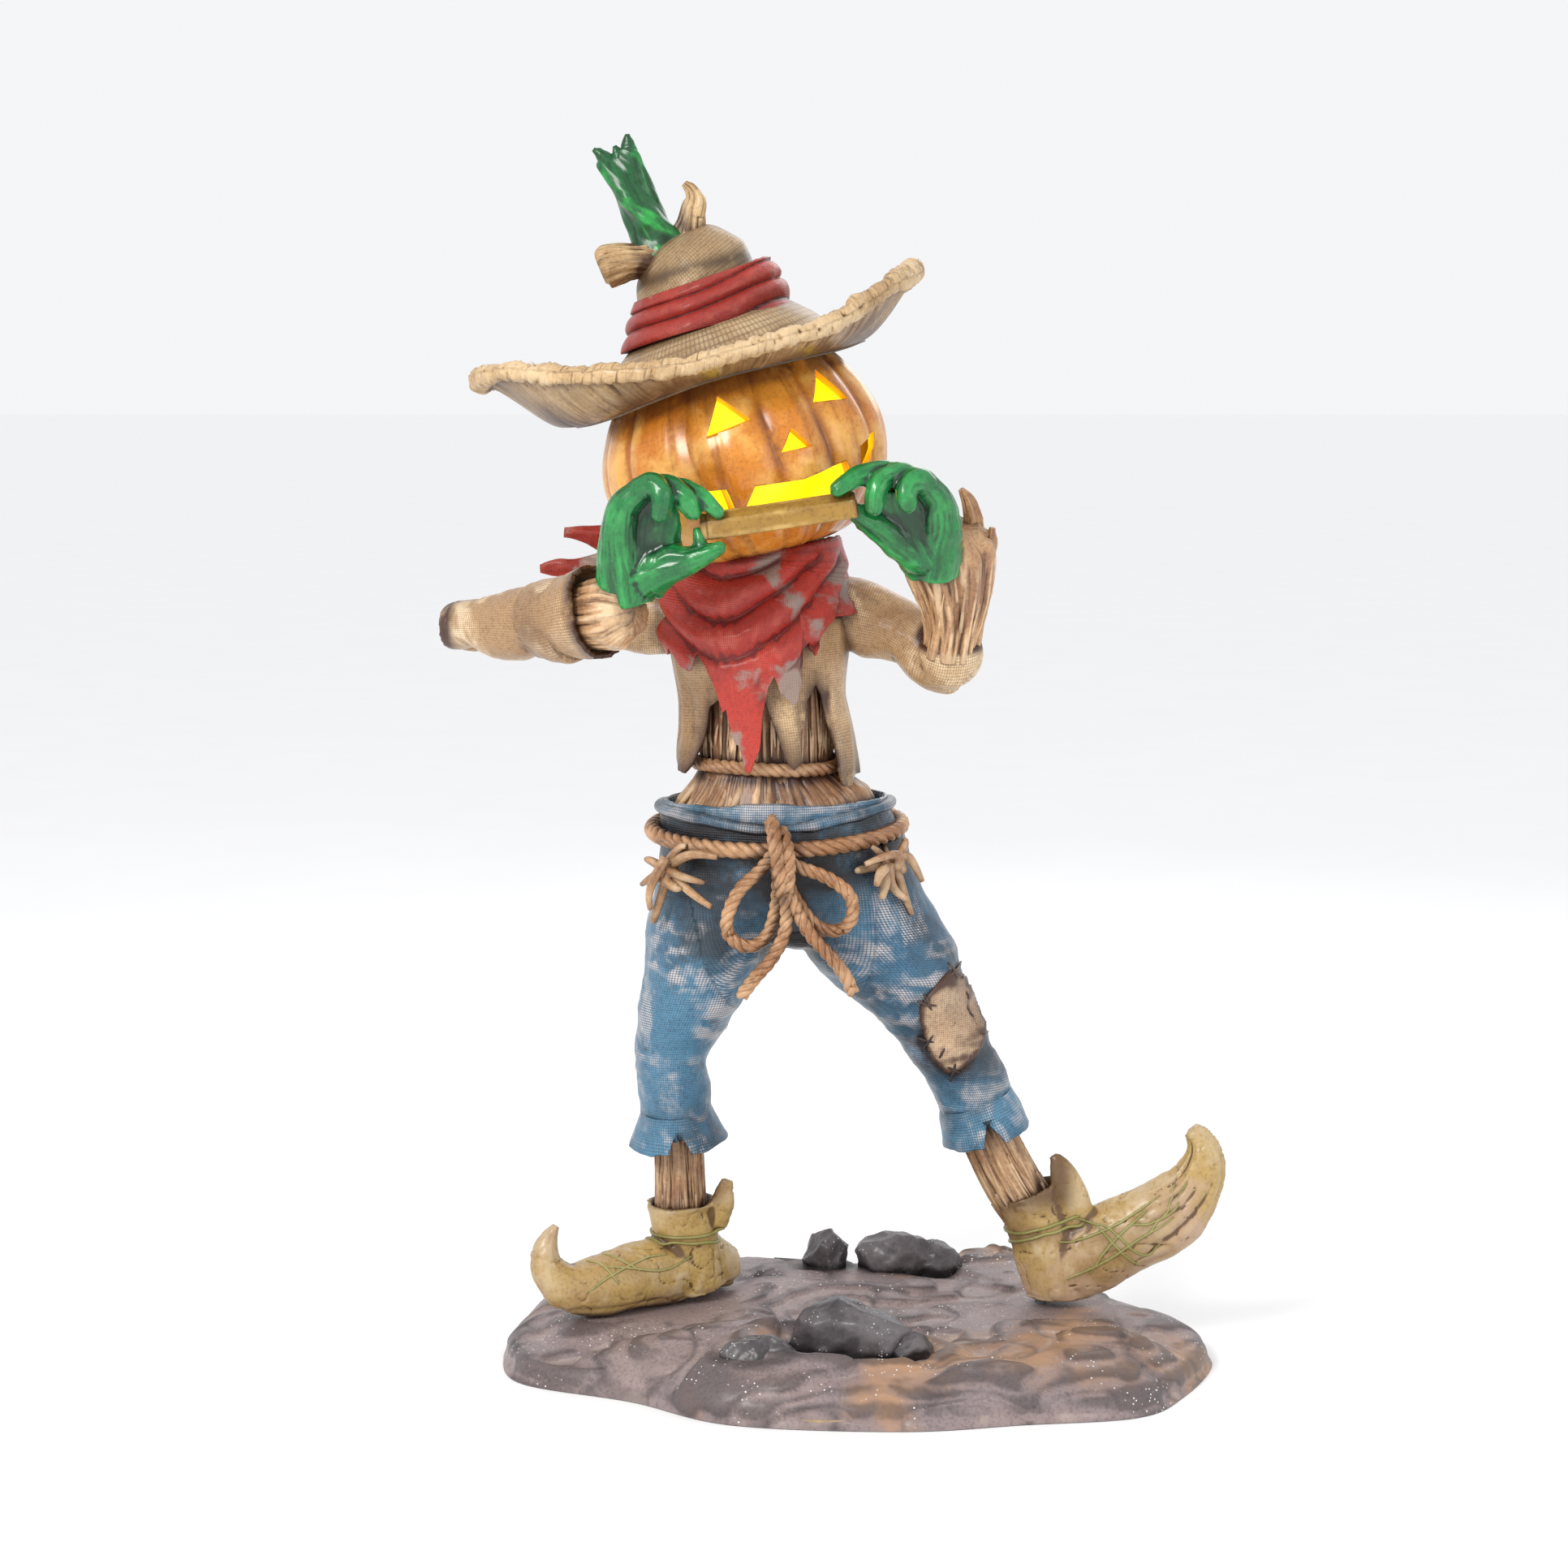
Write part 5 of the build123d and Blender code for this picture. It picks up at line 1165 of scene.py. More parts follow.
def shoe(name, foot, ankle, tongue, collar, rings, seams):
    """A shoe melted from its foot, ankle and tongue, with its laces pressed on its skin."""
    one = fuse([tube(rows, 60, 48) for rows in (foot, ankle, tongue)], 3.2, 4)
    v = one["v"]
    v[:, 2] = np.where(v[:, 2] < SOLE_Z, SOLE_Z - (SOLE_Z - v[:, 2]) * 0.02, v[:, 2])
    top, up, wide = collar
    above = (v - top) @ np.array(up)
    inside = np.linalg.norm(v - top - np.outer(above, up), axis=1)
    v -= np.outer(step(above, -12, 0) * step(inside, wide, wide - 6) * 30, up)
    angle, run, size = place_on(v, [foot, ankle])
    n = normals_of(v, one["f"])
    sole = -3.0 * bump_at(v[:, 2], 82, 4) * step(inside, 30, 60)
    lumps = 2.6 * noise(v, 55, 14, 2) + 0.7 * noise(v, 13, 15, 2)
    wrinkle = -2.2 * step(np.abs(noise(v * [1, 1, 1.4], 34, 16, 1)), 0.07, 0.0)
    toes = step(v[:, 0], 392, 440) + 0.5 * step(v[:, 0], -380, -420)
    pleats = 2.6 * ridges(angle, run, LEATHER_R, 15, 120, 18) * toes
    v += n * (sole + lumps + wrinkle + pleats)[:, None]
    # Painted shade inside the collar and low down by the sole.
    collar_shade = 0.9 * step(v[:, 2], 190, 235) * step(np.abs(v[:, 0] - top[0]), 75, 45)
    darkening = collar_shade + 0.5 * step(v[:, 2], 84, 70)
    one["fab"] = np.stack([(angle + pi / 2) % tau * LEATHER_R, run], 1)
    one["turn"] = np.full(len(v), tau * LEATHER_R)
    piece(name + "_cast", one, "shoe", [name], hollow=9, reach=1.3, wash_and_shade=darkening)
    tree = skin_tree(one)
    t = np.linspace(0, tau, 14, endpoint=False)[:, None]
    cords = []
    for centre, along, radius, tilt in rings:
        along = unit(np.array(along, float))
        side = unit(np.cross(along, [0.1, 1.0, 0.2]))
        round_ = np.cos(t) * side + np.sin(t) * np.cross(along, side)
        loop = centre + radius * round_ + tilt * np.sin(t) * along
        loop = pressed(loop, tree, 0.8, RING_STEPS, True)
        cords.append(strands(loop[None], np.full((1, RING_STEPS), 2.5), 8, 0.0, True))
    lines = np.array([pressed(seam, tree, 0.4, LACE_STEPS) for seam in seams])
    taper = np.sin(np.linspace(0.25, pi - 0.25, LACE_STEPS)) ** 0.4
    cords.append(strands(lines, np.full((len(seams), LACE_STEPS), 2.1) * taper, 8, 0.0))
    piece(name + "_laces", join(*cords), "shoe_lace", hollow=3)


for name, spec in SHOES.items():
    shoe(name, **spec)

# ------------------------------------------------------------------ trousers
HIPS = [
    (-112, 0, 800, 158, 120), (-111, 0, 760, 161, 122), (-102, 0, 700, 178, 127),
    (-92, 0, 622, 184, 114),
]
RIGHT_LEG = [
    (-180, 0, 680, 92, 104), (-206, 3, 600, 88, 100), (-224, 6, 540, 73, 83), (-257, 14, 440, 53, 62),
    (-255, 22, 365, 50, 58), (-252, 26, 322, 54, 61),
]
LEFT_LEG = [
    (-16, 0, 690, 94, 104), (20, 2, 615, 93, 100), (72, 5, 550, 78, 85), (126, 10, 455, 57, 63),
    (162, 18, 385, 53, 58), (178, 21, 336, 53, 58),
]


KNEE_Z, CROTCH_Z, POCKET_Z, CUFF_Z = 440, 600, 716, 330


def denim_skin(at):
    """How far the folds push the trousers out at each point."""
    soft = 3.2 * noise(at * [1, 1, 1.7], 70, 31, 2)
    keen = 2.6 * (0.35 - np.abs(noise(at * [0.8, 0.8, 2.2], 60, 32, 2))) * step(at[:, 2], 640, 560)
    slanting = np.stack([at[:, 0] * 0.6 + at[:, 2] * 0.4, at[:, 1] * 0.6, at[:, 2]], 1)
    pulled = np.abs(noise(slanting, 42, 33, 2))
    knees = bump_at(at[:, 2], KNEE_Z, 55) + bump_at(at[:, 2], CROTCH_Z, 40)
    return soft + keen + 2.5 * (0.3 - pulled) * knees + 0.5 * noise(at, 11, 34, 2)


trouser_rows = [HIPS, RIGHT_LEG, LEFT_LEG]
crotch = ball((-88, 0, 622), (62, 92, 38))
trouser_form = fuse([tube(rows, 60, 96) for rows in trouser_rows] + [crotch], 3.4, 4)
t_angle, _, t_size = place_on(trouser_form["v"], trouser_rows)
t_normal = normals_of(trouser_form["v"], trouser_form["f"])
trouser_form["v"] += t_normal * denim_skin(trouser_form["v"])[:, None]
tv = trouser_form["v"]
inside_waist = (np.hypot(tv[:, 0] + 112, tv[:, 1] * 1.32) < 150) & (tv[:, 2] > 792)
tv[inside_waist, 2] -= 26
trouser_form["fab"] = np.stack([(t_angle + pi / 2) % tau * t_size, 1.05 * tv[:, 2]], 1)
trouser_form["turn"] = tau * t_size
# Painted shade at the pockets under the belt and bow, between the legs and at the cuffs; darker round the
# left knee.
ahead = -np.sin(t_angle)
dark = (0.7 + 0.6 * ahead) * bump_at(tv[:, 2], POCKET_Z, 46) * (0.5 + 0.5 * np.abs(ahead))
dark = dark + 0.8 * bump_at(tv[:, 2], KNEE_Z, 46) * (tv[:, 0] > -60)
between = bump_at(tv[:, 0], -85, 60) * bump_at(tv[:, 2], CROTCH_Z, 50)
dark = dark + 1.1 * between + 0.5 * bump_at(tv[:, 2], CUFF_Z, 22)
piece(
    "trousers", trouser_form, "denim", ["trouser_hips", "trouser_right_leg", "trouser_left_leg"],
    hollow=10, reach=1.5, wash_and_shade=dark.clip(0, 1),
)
trouser_tree = skin_tree(trouser_form)


def on_trousers(x, z, lift):
    """The place on the front of the trousers at x and z, lift mm proud of the cloth."""
    start = Vector((x, -300, z))
    hit, normal, _, _ = trouser_tree.ray_cast(start, Vector((0, 1, 0)))
    if hit is None:
        hit, normal, _, _ = trouser_tree.find_nearest(start + Vector((0, 260, 0)))
    return np.array(hit) + np.array(normal) * lift


def cuff(rows, slit, seed):
    """A rolled cuff: a tube hanging down, slit at one angle of its lower edge."""

    def from_slit(angle):
        return np.abs((angle - slit + pi) % tau - pi)

    def fold(angle, share):
        notch = 0.62 * (1 - np.minimum(from_slit(angle) / 0.26, 1)) ** 0.9
        round_ = np.stack([np.cos(angle) * 3, np.sin(angle) * 3, 0 * angle], -1)
        ragged = 0.04 * noise(round_, 1, seed, 2)
        return share - share**2 * (notch + ragged + 0.04).clip(0, 0.9)

    def rolls(angle, run, at):
        wavy = 3.4 * np.sin(run / 15.0 + 0.5 * np.sin(angle * 2 + seed)) + 1.8 * noise(at, 26, seed, 2)
        return wavy + 5.0 * bump_at(from_slit(angle), 0.22, 0.14) * step(run, 18, 44)

    return tube(rows, 40, 160, (False, False), rolls, fold)


RIGHT_CUFF = [
    (-252, 24, 352, 50, 57), (-251, 26, 330, 55, 62), (-250, 27, 314, 62, 68), (-249, 28, 302, 70, 75),
]
LEFT_CUFF = [
    (170, 20, 366, 52, 57), (178, 21, 342, 55, 59), (183, 22, 326, 60, 63), (187, 23, 312, 66, 68),
]
cuffs = join(cuff(RIGHT_CUFF, -pi / 2 - 0.05, 4), cuff(LEFT_CUFF, -pi / 2 - 0.10, 9))
piece("trouser_cuffs", cuffs, "denim", thick=7.0, hollow=10, reach=1.4)

bearing = np.linspace(0, tau, 64, endpoint=False)
front = np.clip(-np.sin(bearing), 0, 1)
uneven = noise(np.stack([np.cos(bearing), np.sin(bearing), 0 * bearing], 1), 0.5, 3)
band_z = 787 + 4 * np.cos(bearing) - 16 * front**4 + 2.5 * uneven
waist = np.stack([-112 + 160 * np.cos(bearing), 121 * np.sin(bearing), band_z], 1)
waist, _ = smooth(waist, 260, True)
band_r = 8.2 + 1.6 * noise(waist, 40, 6, 2)
band = strands(waist[None], band_r[None], 20, 0.0, True)
piece("waistband_roll", band, "denim", hollow=6, reach=3.0, wash_and_shade=0.3)

# Knee patch, laid on the leg.
PATCH = [
    (90, 514), (106, 540), (133, 560), (158, 534), (178, 504), (180, 474), (170, 446), (136, 420),
    (110, 440), (94, 478),
]
PATCH_RINGS, PATCH_SIDES = 40, 150
patch_rim, _ = smooth([(x, 0, z) for x, z in PATCH], PATCH_SIDES, True)
patch_mid = patch_rim.mean(0)
grow, side = np.meshgrid(np.linspace(0.02, 1.0, PATCH_RINGS), np.arange(PATCH_SIDES), indexing="ij")
flat = patch_mid + (patch_rim[side] - patch_mid) * grow[..., None]
flat = flat + grow[..., None] ** 8 * 2.2 * noise(flat, 8, 3)[..., None] * [1, 0, 1]
lift = 2.6 + 0.3 * bump_at(grow, 0.93, 0.05) - 2.4 * step(grow, 0.96, 1.0) + 1.0 * noise(flat, 26, 5)
laid = np.empty_like(flat)
for index in np.ndindex(flat.shape[:2]):
    laid[index] = on_trousers(flat[index][0], flat[index][2], lift[index])
patch_form = form(laid, [quads(PATCH_RINGS, PATCH_SIDES)[:, ::-1]], laid[..., [0, 2]])
# Painted shade towards the patch's edge, where it meets the denim, in patches.
patch_edge = 0.75 * step(grow, 0.82, 1.0).ravel() * (0.5 + 0.5 * noise(flat, 60, 8).ravel()).clip(0, 1)
piece("knee_patch_cloth", patch_form, "patch", ["knee_patch"], thick=3.0, hollow=6, wash_and_shade=patch_edge)

STITCHES = [
    ((84, 524), (112, 517)), ((92, 534), (104, 508)), ((126, 572), (138, 544)), ((122, 552), (146, 566)),
    ((86, 470), (112, 462)), ((94, 450), (108, 480)), ((132, 404), (138, 438)), ((122, 430), (146, 418)),
    ((160, 534), (178, 516)), ((150, 548), (166, 556)), ((166, 470), (184, 466)), ((114, 436), (124, 458)),
    ((150, 424), (158, 446)), ((164, 505), (182, 500)),
]
THREAD_STEPS = 14
threads = []
for (x0, z0), (x1, z1) in STITCHES:
    row = []
    for f in np.linspace(0, 1, THREAD_STEPS):
        lift = 1.5 + 4.2 * sin(pi * f) ** 0.6
        row.append(on_trousers(x0 + (x1 - x0) * f, z0 + (z1 - z0) * f, lift))
    threads.append(row)
taper = 0.6 + 0.4 * np.sin(np.linspace(0, pi, THREAD_STEPS))
thread_r = np.full((len(threads), THREAD_STEPS), 2.0) * taper
piece("patch_thread", strands(threads, thread_r, 8, 0.0), "stitch", ["patch_stitches"], hollow=3)

# ------------------------------------------------------------------ rope belt, bow and pocket straw
BELT_MIDDLE = np.array([-110.0, 0.0, 757.0])
belt_x = unit(np.array([1.0, 0.0, 0.02]))
belt_up = unit(np.array([0.0, -0.083, 1.0]))
belt_y = np.cross(belt_up, belt_x)
bearing = np.linspace(0, tau, 60, endpoint=False)[:, None]
belt_path = BELT_MIDDLE + (np.cos(bearing) * 173.0 * belt_x) + (np.sin(bearing) * 135.0 * belt_y)
belt_path = belt_path - np.clip(-np.sin(bearing), 0, 1) ** 3 * 4 * UP
piece("belt", rope(belt_path, 11.0, closed=True), "rope", ["belt_rope"], hollow=8, reach=0.9)
KNOT = [
    [(-117, -150, 786), (-114, -168, 772), (-110, -176, 744), (-105, -172, 712), (-102, -164, 686)],
    [(-103, -152, 772), (-97, -168, 752), (-94, -172, 724), (-97, -166, 690)],
]
piece("bow_knot", join(*(rope(p, 10.0) for p in KNOT)), "rope", ["belt_knot"], hollow=8, reach=0.9)
BOW = {
    "right_bow_loop": [
        (-114, -158, 742), (-132, -150, 718), (-160, -146, 690), (-176, -145, 655), (-174, -145, 628),
        (-150, -144, 612),
        (-124, -143, 626), (-112, -143, 660), (-108, -148, 700), (-110, -158, 738),
    ],
    "left_bow_loop": [
        (-108, -158, 742), (-84, -150, 724), (-44, -146, 708), (-12, -145, 684), (-8, -144, 652),
        (-28, -143, 634),
        (-58, -143, 642), (-84, -144, 676), (-100, -150, 712), (-108, -158, 740),
    ],
    "right_bow_tail": [
        (-110, -164, 724), (-99, -163, 690), (-98, -162, 640), (-116, -160, 600), (-140, -152, 570),
        (-158, -142, 544),
    ],
    "left_bow_tail": [
        (-106, -164, 722), (-88, -163, 676), (-66, -162, 634), (-36, -160, 600), (-16, -156, 572),
        (-7, -150, 550),
    ],
}
for name, route in BOW.items():
    piece(name + "_rope", rope(route, 9.0), "rope", [name], hollow=8, reach=0.9)

POCKETS = {
    "right_pocket_straw": (
        (-258, -88, 716),
        [
            (-192, -142, 726), (-200, -146, 672), (-212, -138, 700), (-284, -70, 640), (-276, -84, 660),
            (-298, -58, 716,
        ),
         (-282, -80, 748), (-230, -120, 744), (-240, -118, 690), (-292, -66, 680)],
    ),
    "left_pocket_straw": (
        (50, -88, 712),
        [
            (-4, -132, 712), (4, -128, 728), (82, -84, 646), (72, -92, 664), (36, -116, 668),
            (46, -76, 752,
        ),
         (18, -120, 744), (62, -70, 744), (20, -122, 692), (84, -70, 690)],
    ),
}
for name, (root, tips) in POCKETS.items():
    paths, radii = [], []
    t = np.linspace(0, 1, 12)[:, None]
    for tip in tips:
        start = np.array(root, float) + rng.normal(0, 6, 3) + rng.normal(0, 3.5, 3)
        end = np.array(tip, float) + rng.normal(0, 4.5, 3)
        bow = np.sin(t * pi) * rng.normal(0, 9, 3) + np.sin(t * pi) * [0, -5, 0]
        paths.append(start + (end - start) * t + bow)
        radii.append(rng.uniform(6.0, 8.5) * (1 - 0.5 * t[:, 0] ** 2))
    piece(name + "_sticks", strands(paths, radii, 9), "straw", [name], hollow=3, wash_and_shade=0.3)

# ------------------------------------------------------------------ straw body, waist rope
TORSO = [
    (-110, 0, 730, 128, 98), (-111, 0, 752, 138, 105), (-114, 0, 776, 139, 105),
    (-118, 0, 800, 125, 96),
    (-121, 0, 824, 104, 86), (-122, 0, 846, 91, 78), (-123, 0, 880, 90, 78), (-124, 0, 940, 90, 78),
    (-130, 0, 1030, 96, 78), (-120, 0, 1092, 60, 54),
]
torso = tube(TORSO, 150, 300, (True, True), straw_skin(4.6, 13, 170, 100, 1))
piece("straw_body", torso, "straw", ["straw_torso"], hollow=6, reach=1.8, wash_and_shade=0.35)
STRAW_STEPS = 9
t = np.linspace(0, 1, STRAW_STEPS)
# Share of the waist's size and height of each point of a straw hanging over the belt.
FALL = np.array([
    (1.00, 838), (1.03, 826), (1.12, 812), (1.24, 798), (1.36, 786), (1.44, 776), (1.46, 768),
    (1.44, 760), (1.40, 752),
])
count = 90
bearing = rng.uniform(0, tau, count)
wave = bearing[:, None] + rng.normal(0, 0.05, count)[:, None] * t
width = FALL[:, 0] * rng.uniform(0.97, 1.015, count)[:, None]
height = FALL[:, 1] + rng.uniform(-4, 8, count)[:, None] + 0 * wave
paths = np.stack([-121 + 91 * width * np.cos(wave), 78 * width * np.sin(wave) * 0.96, height], -1)
paths[..., 0] += (paths[..., 2] < 800) * 6 * step(paths[..., 2], 800, 760)
radii = rng.uniform(4.0, 7.0, count)[:, None] * (1 - 0.5 * t**3)
piece("waist_straw", strands(paths, radii), "straw", hollow=2)
count = 110
bearing = rng.uniform(0, tau, count)
low, high = rng.uniform(838, 880, count), rng.uniform(900, 990, count)
height = low[:, None] + (high - low)[:, None] * t
wave = bearing[:, None] + rng.normal(0, 0.08, count)[:, None] * t
belly = 2 * np.sin(t * pi)
paths = np.stack([-124 + (90 + belly) * np.cos(wave), (79 + belly) * np.sin(wave), height], -1)
radii = rng.uniform(1.6, 3.0, count)[:, None] * np.sin(np.linspace(0.3, pi - 0.3, STRAW_STEPS))
piece("chest_straw", strands(paths, radii), "straw", hollow=2)
bearing = np.linspace(0, tau, 60, endpoint=False)
loop = np.stack([-122 + 99 * np.cos(bearing), 86 * np.sin(bearing), 846 + 2.5 * np.sin(bearing * 2)], 1)
piece("waist_cord", rope(loop, 9.0, closed=True), "rope", ["waist_rope"], hollow=8, reach=1.3)

# ------------------------------------------------------------------ shirt and neckerchief


def front_hem(angle, middle, wide, line, back):
    """The height of a hem at each angle: line gives it across the front, back round the back."""
    x = middle + wide * np.cos(angle)
    ahead = np.interp(x, [p[0] for p in line], [p[1] for p in line])
    behind = np.interp(x, [p[0] for p in back], [p[1] for p in back])
    return np.where(np.sin(angle) < 0, ahead, behind)


def hung(rows, hem, folds, sides, rings):
    """A garment: a tube whose lower edge follows hem(angle), from the bottom upwards."""
    line, _ = smooth(rows, 400)
    rising = 300  # points of the line that a hem may lie at

    def fold(angle, share):
        start = np.interp(hem(angle), line[:rising, 2], np.linspace(0, 1, 400)[:rising])
        return start + (1 - start) * share

    return tube(rows, rings, sides, (False, False), folds, fold)


SHIRT = [
    (-124, 0, 806, 124, 110), (-124, 0, 872, 121, 106), (-130, 0, 940, 115, 98),
    (-134, 2, 1030, 126, 101),
    (-132, 2, 1072, 115, 94), (-122, 0, 1100, 78, 72),
]
SHIRT_FRONT = [
    (-250, 856), (-243, 838), (-236, 836), (-229, 852), (-222, 880), (-214, 905), (-205, 935),
    (-168, 956), (-140, 948),
    (-118, 936), (-108, 905), (-101, 874), (-94, 856), (-86, 847), (-76, 856), (-70, 893), (-64, 905),
    (-57, 935),
    (-44, 956), (-34, 940), (-28, 890), (-22, 846), (-15, 822), (-8, 814), (0, 834),
]
SHIRT_BACK = [
    (-250, 856), (-240, 880), (-220, 858), (-200, 905), (-186, 880), (-168, 842), (-150, 884),
    (-130, 925), (-112, 870),
    (-96, 850), (-78, 902), (-60, 880), (-40, 850), (-22, 893), (-6, 818), (0, 834),
]


def shirt_folds(angle, run, at):
    z = at[..., 2]
    down = ridges(angle, run, 120, 46, 260, 12)
    hem = 3.0 * step(z, 920, 820) * np.sin(angle * 7 + z / 40)
    return (2.6 * down + 1.6 * noise(at, 60, 13, 2)) * (0.5 + 0.8 * step(z, 1000, 860)) + hem


def shirt_hem(angle):
    return front_hem(angle, -124, 126, SHIRT_FRONT, SHIRT_BACK)


SHIRT_RINGS, SHIRT_SIDES = 120, 560
shirt_form = hung(SHIRT, shirt_hem, shirt_folds, SHIRT_SIDES, SHIRT_RINGS)
# Painted shade along the hem of the shirt, fading upwards.
shirt_edge = np.zeros((SHIRT_RINGS, SHIRT_SIDES))
shirt_edge[:34] = np.linspace(1, 0, 34)[:, None] ** 1.3
piece("shirt_cloth", shirt_form, "burlap", ["shirt"], thick=4.0, hollow=9, reach=1.4, wash_and_shade=shirt_edge.ravel())

SCARF = [
    (-124, 0, 838, 134, 126), (-125, 0, 872, 131, 124), (-130, 0, 940, 130, 120),
    (-136, 0, 1040, 137, 116),
    (-134, -2, 1090, 131, 112), (-125, -4, 1132, 112, 103),
    (-125, -4, 1143, 99, 93), (-125, -4, 1148, 84, 80), (-125, -4, 1150, 70, 66),
]
SCARF_FRONT = [
    (-280, 1046), (-268, 1040), (-262, 1006), (-254, 1018), (-243, 992), (-232, 986), (-226, 992),
    (-220, 1012), (-208, 994),
    (-198, 962), (-192, 930), (-186, 935), (-178, 890), (-171, 884), (-163, 850), (-157, 846),
    (-150, 862), (-141, 880),
    (-134, 925), (-123, 962), (-114, 975), (-106, 950), (-98, 944), (-90, 934), (-84, 938), (-77, 962),
    (-74, 1010),
    (-65, 1019), (-57, 998), (-50, 1010), (-42, 1040), (-20, 1058), (10, 1060),
]
SCARF_BACK = [
    (-280, 1046), (-240, 1040), (-215, 1010), (-196, 1028), (-176, 980), (-150, 948), (-128, 990),
    (-104, 970), (-84, 1012), (-60, 1000), (-30, 1040), (10, 1060),
]


def scarf_folds(angle, run, at):
    z = at[..., 2]
    ahead = np.cos((angle + pi / 2) / 2) ** 2
    wander = 0.26 * noise(at, 110, 41, 2)
    phase = (1140 - z - 105 * ahead**2.2 + 34 * np.cos(angle)) / 54 + wander + 0.45 * np.sin(angle + 0.7)
    wave = np.abs(np.sin(phase * pi)) ** 0.9
    cowl = step(z, 960, 1030) * (0.5 + 0.5 * ahead) * step(z, 1150, 1122)
    flutter = 5.0 * step(z, 980, 860) * np.sin(angle * 11 + 1.0) * ahead
    return 15.0 * (wave - 0.5) * cowl + 1.6 * noise(at, 34, 42, 3) + flutter * 0.6


def scarf_hem(angle):
    return front_hem(angle, -134, 136, SCARF_FRONT, SCARF_BACK)


scarf_form = hung(SCARF, scarf_hem, scarf_folds, 640, 150)
piece("neckerchief_cloth", scarf_form, "neckerchief", ["neckerchief"], thick=4.0, hollow=9, reach=1.8)

TAILS = [
    [
        (-232, 62, 1128, 15, 10), (-280, 74, 1138, 17, 9), (-330, 80, 1147, 19, 9),
        (-374, 82, 1156, 15, 8), (-408, 82, 1159, 6, 5),
    ],
    [
        (-236, 60, 1092, 14, 9), (-300, 74, 1108, 16, 9), (-350, 80, 1114, 17, 8),
        (-404, 82, 1110, 13, 7), (-442, 82, 1108, 5, 4),
    ],
]


def tail_skin(angle, run, at):
    return 3.0 * noise(at * [0.5, 1, 1.4], 20, 51, 2) + 2.0 * np.cos(angle) ** 6 * np.sin(run / 14)


tails = join(*(tube(rows, 60, 60, (True, True), tail_skin) for rows in TAILS))
piece("neckerchief_ends", tails, "hat_band", ["scarf_tails"], hollow=7, reach=1.4)

# ------------------------------------------------------------------ arms
RIGHT_UPPER = [
    (-232, 12, 1046, 49, 46), (-330, 18, 1046, 45, 42), (-450, 12, 1043, 40, 38),
    (-540, 0, 1040, 33, 32),
]
RIGHT_LOWER = [
    (-556, 8, 1038, 30, 30), (-500, -48, 1043, 42, 37), (-430, -108, 1050, 52, 46),
    (-384, -150, 1060, 55, 49),
]
RIGHT_CUFF_ROWS = [
    (-430, -108, 1051, 51, 45), (-400, -136, 1056, 54, 49), (-368, -166, 1064, 57, 51),
    (-342, -188, 1071, 62, 56),
]


def sleeve_skin(run, at, n):
    """Crumples all over and folds that sag underneath."""
    cross = np.stack([at[:, 0] * 0.9 + at[:, 2] * 0.5, at[:, 1], at[:, 2] * 0.6], 1)
    sag = 12.0 * step(-n[:, 2], 0.2, 0.9) * (np.abs(np.sin(run / 38)) - 0.5)
    sharp = 2.6 * (0.35 - np.abs(noise(cross * 1.3, 50, 62, 2)))
    return sag + 3.4 * noise(cross, 58, 61, 2) + sharp + 0.4 * noise(at, 9, 63, 2)


def sleeve(limbs, shift=0):
    """A sleeve melted from its limbs; shift moves the noise that crumples it."""
    one = fuse([tube(rows, 60, 70) for rows in limbs], 3.0, 4)
    angle, run, size = place_on(one["v"], limbs)
    n = normals_of(one["v"], one["f"])
    one["v"] += n * sleeve_skin(run, one["v"] + shift, n)[:, None]
    one["fab"], one["turn"] = np.stack([(angle + pi / 2) % tau * size, run], 1), tau * size
    return one


one = sleeve([RIGHT_UPPER, RIGHT_LOWER])
# Painted shade at the elbow end of the right sleeve.
stump_shade = 1.5 * near(one["v"], (-572, 4, 1038), 58, 58 * 0.4)
piece(
    "right_sleeve_cloth", one, "burlap", ["right_upper_sleeve", "right_lower_sleeve"], hollow=9,
    wash_and_shade=stump_shade,
)


CUFF_RINGS, CUFF_SIDES = 70, 200


def open_cuff(rows, seed, depth, waves):
    """A flared sleeve end with a ragged edge."""

    def fold(angle, share):
        slow = 0.4 + 0.6 * np.abs(np.sin(angle * 2 + seed))
        ragged = depth * (0.5 + 0.5 * np.sin(angle * waves + seed)) * slow
        round_ = np.stack([np.cos(angle) * 6, np.sin(angle) * 6, 0 * angle], -1)
        return share * (1 - (ragged + 0.04 * noise(round_, 1, seed, 2)).clip(0, 0.8))

    def folds(angle, run, at):
        return 2.4 * noise(at, 30, seed, 3) + 3.5 * step(run, 62, 96)

    return tube(rows, CUFF_RINGS, CUFF_SIDES, (False, False), folds, fold)


# Painted shade at the open end of the right cuff, where the straw comes out.
cuff_mouth_shade = np.zeros((CUFF_RINGS, CUFF_SIDES))
cuff_mouth_shade[-12:] = np.linspace(0, 1, 12)[:, None]
right_cuff = open_cuff(RIGHT_CUFF_ROWS, 2, 0.10, 2)
piece("right_cuff", right_cuff, "burlap", thick=6.5, hollow=8, wash_and_shade=cuff_mouth_shade.ravel())
RIGHT_FORE = [
    (-452, -92, 1049, 30, 28), (-390, -146, 1058, 38, 37), (-350, -182, 1065, 45, 43),
    (-318, -208, 1071, 48, 46), (-300, -224, 1074, 34, 33),
]
right_straw = tube(RIGHT_FORE, 90, 150, (True, True), straw_skin(4.5, 15, 120, 44, 5))
piece("right_straw", right_straw, "straw", ["right_forearm"], hollow=7)

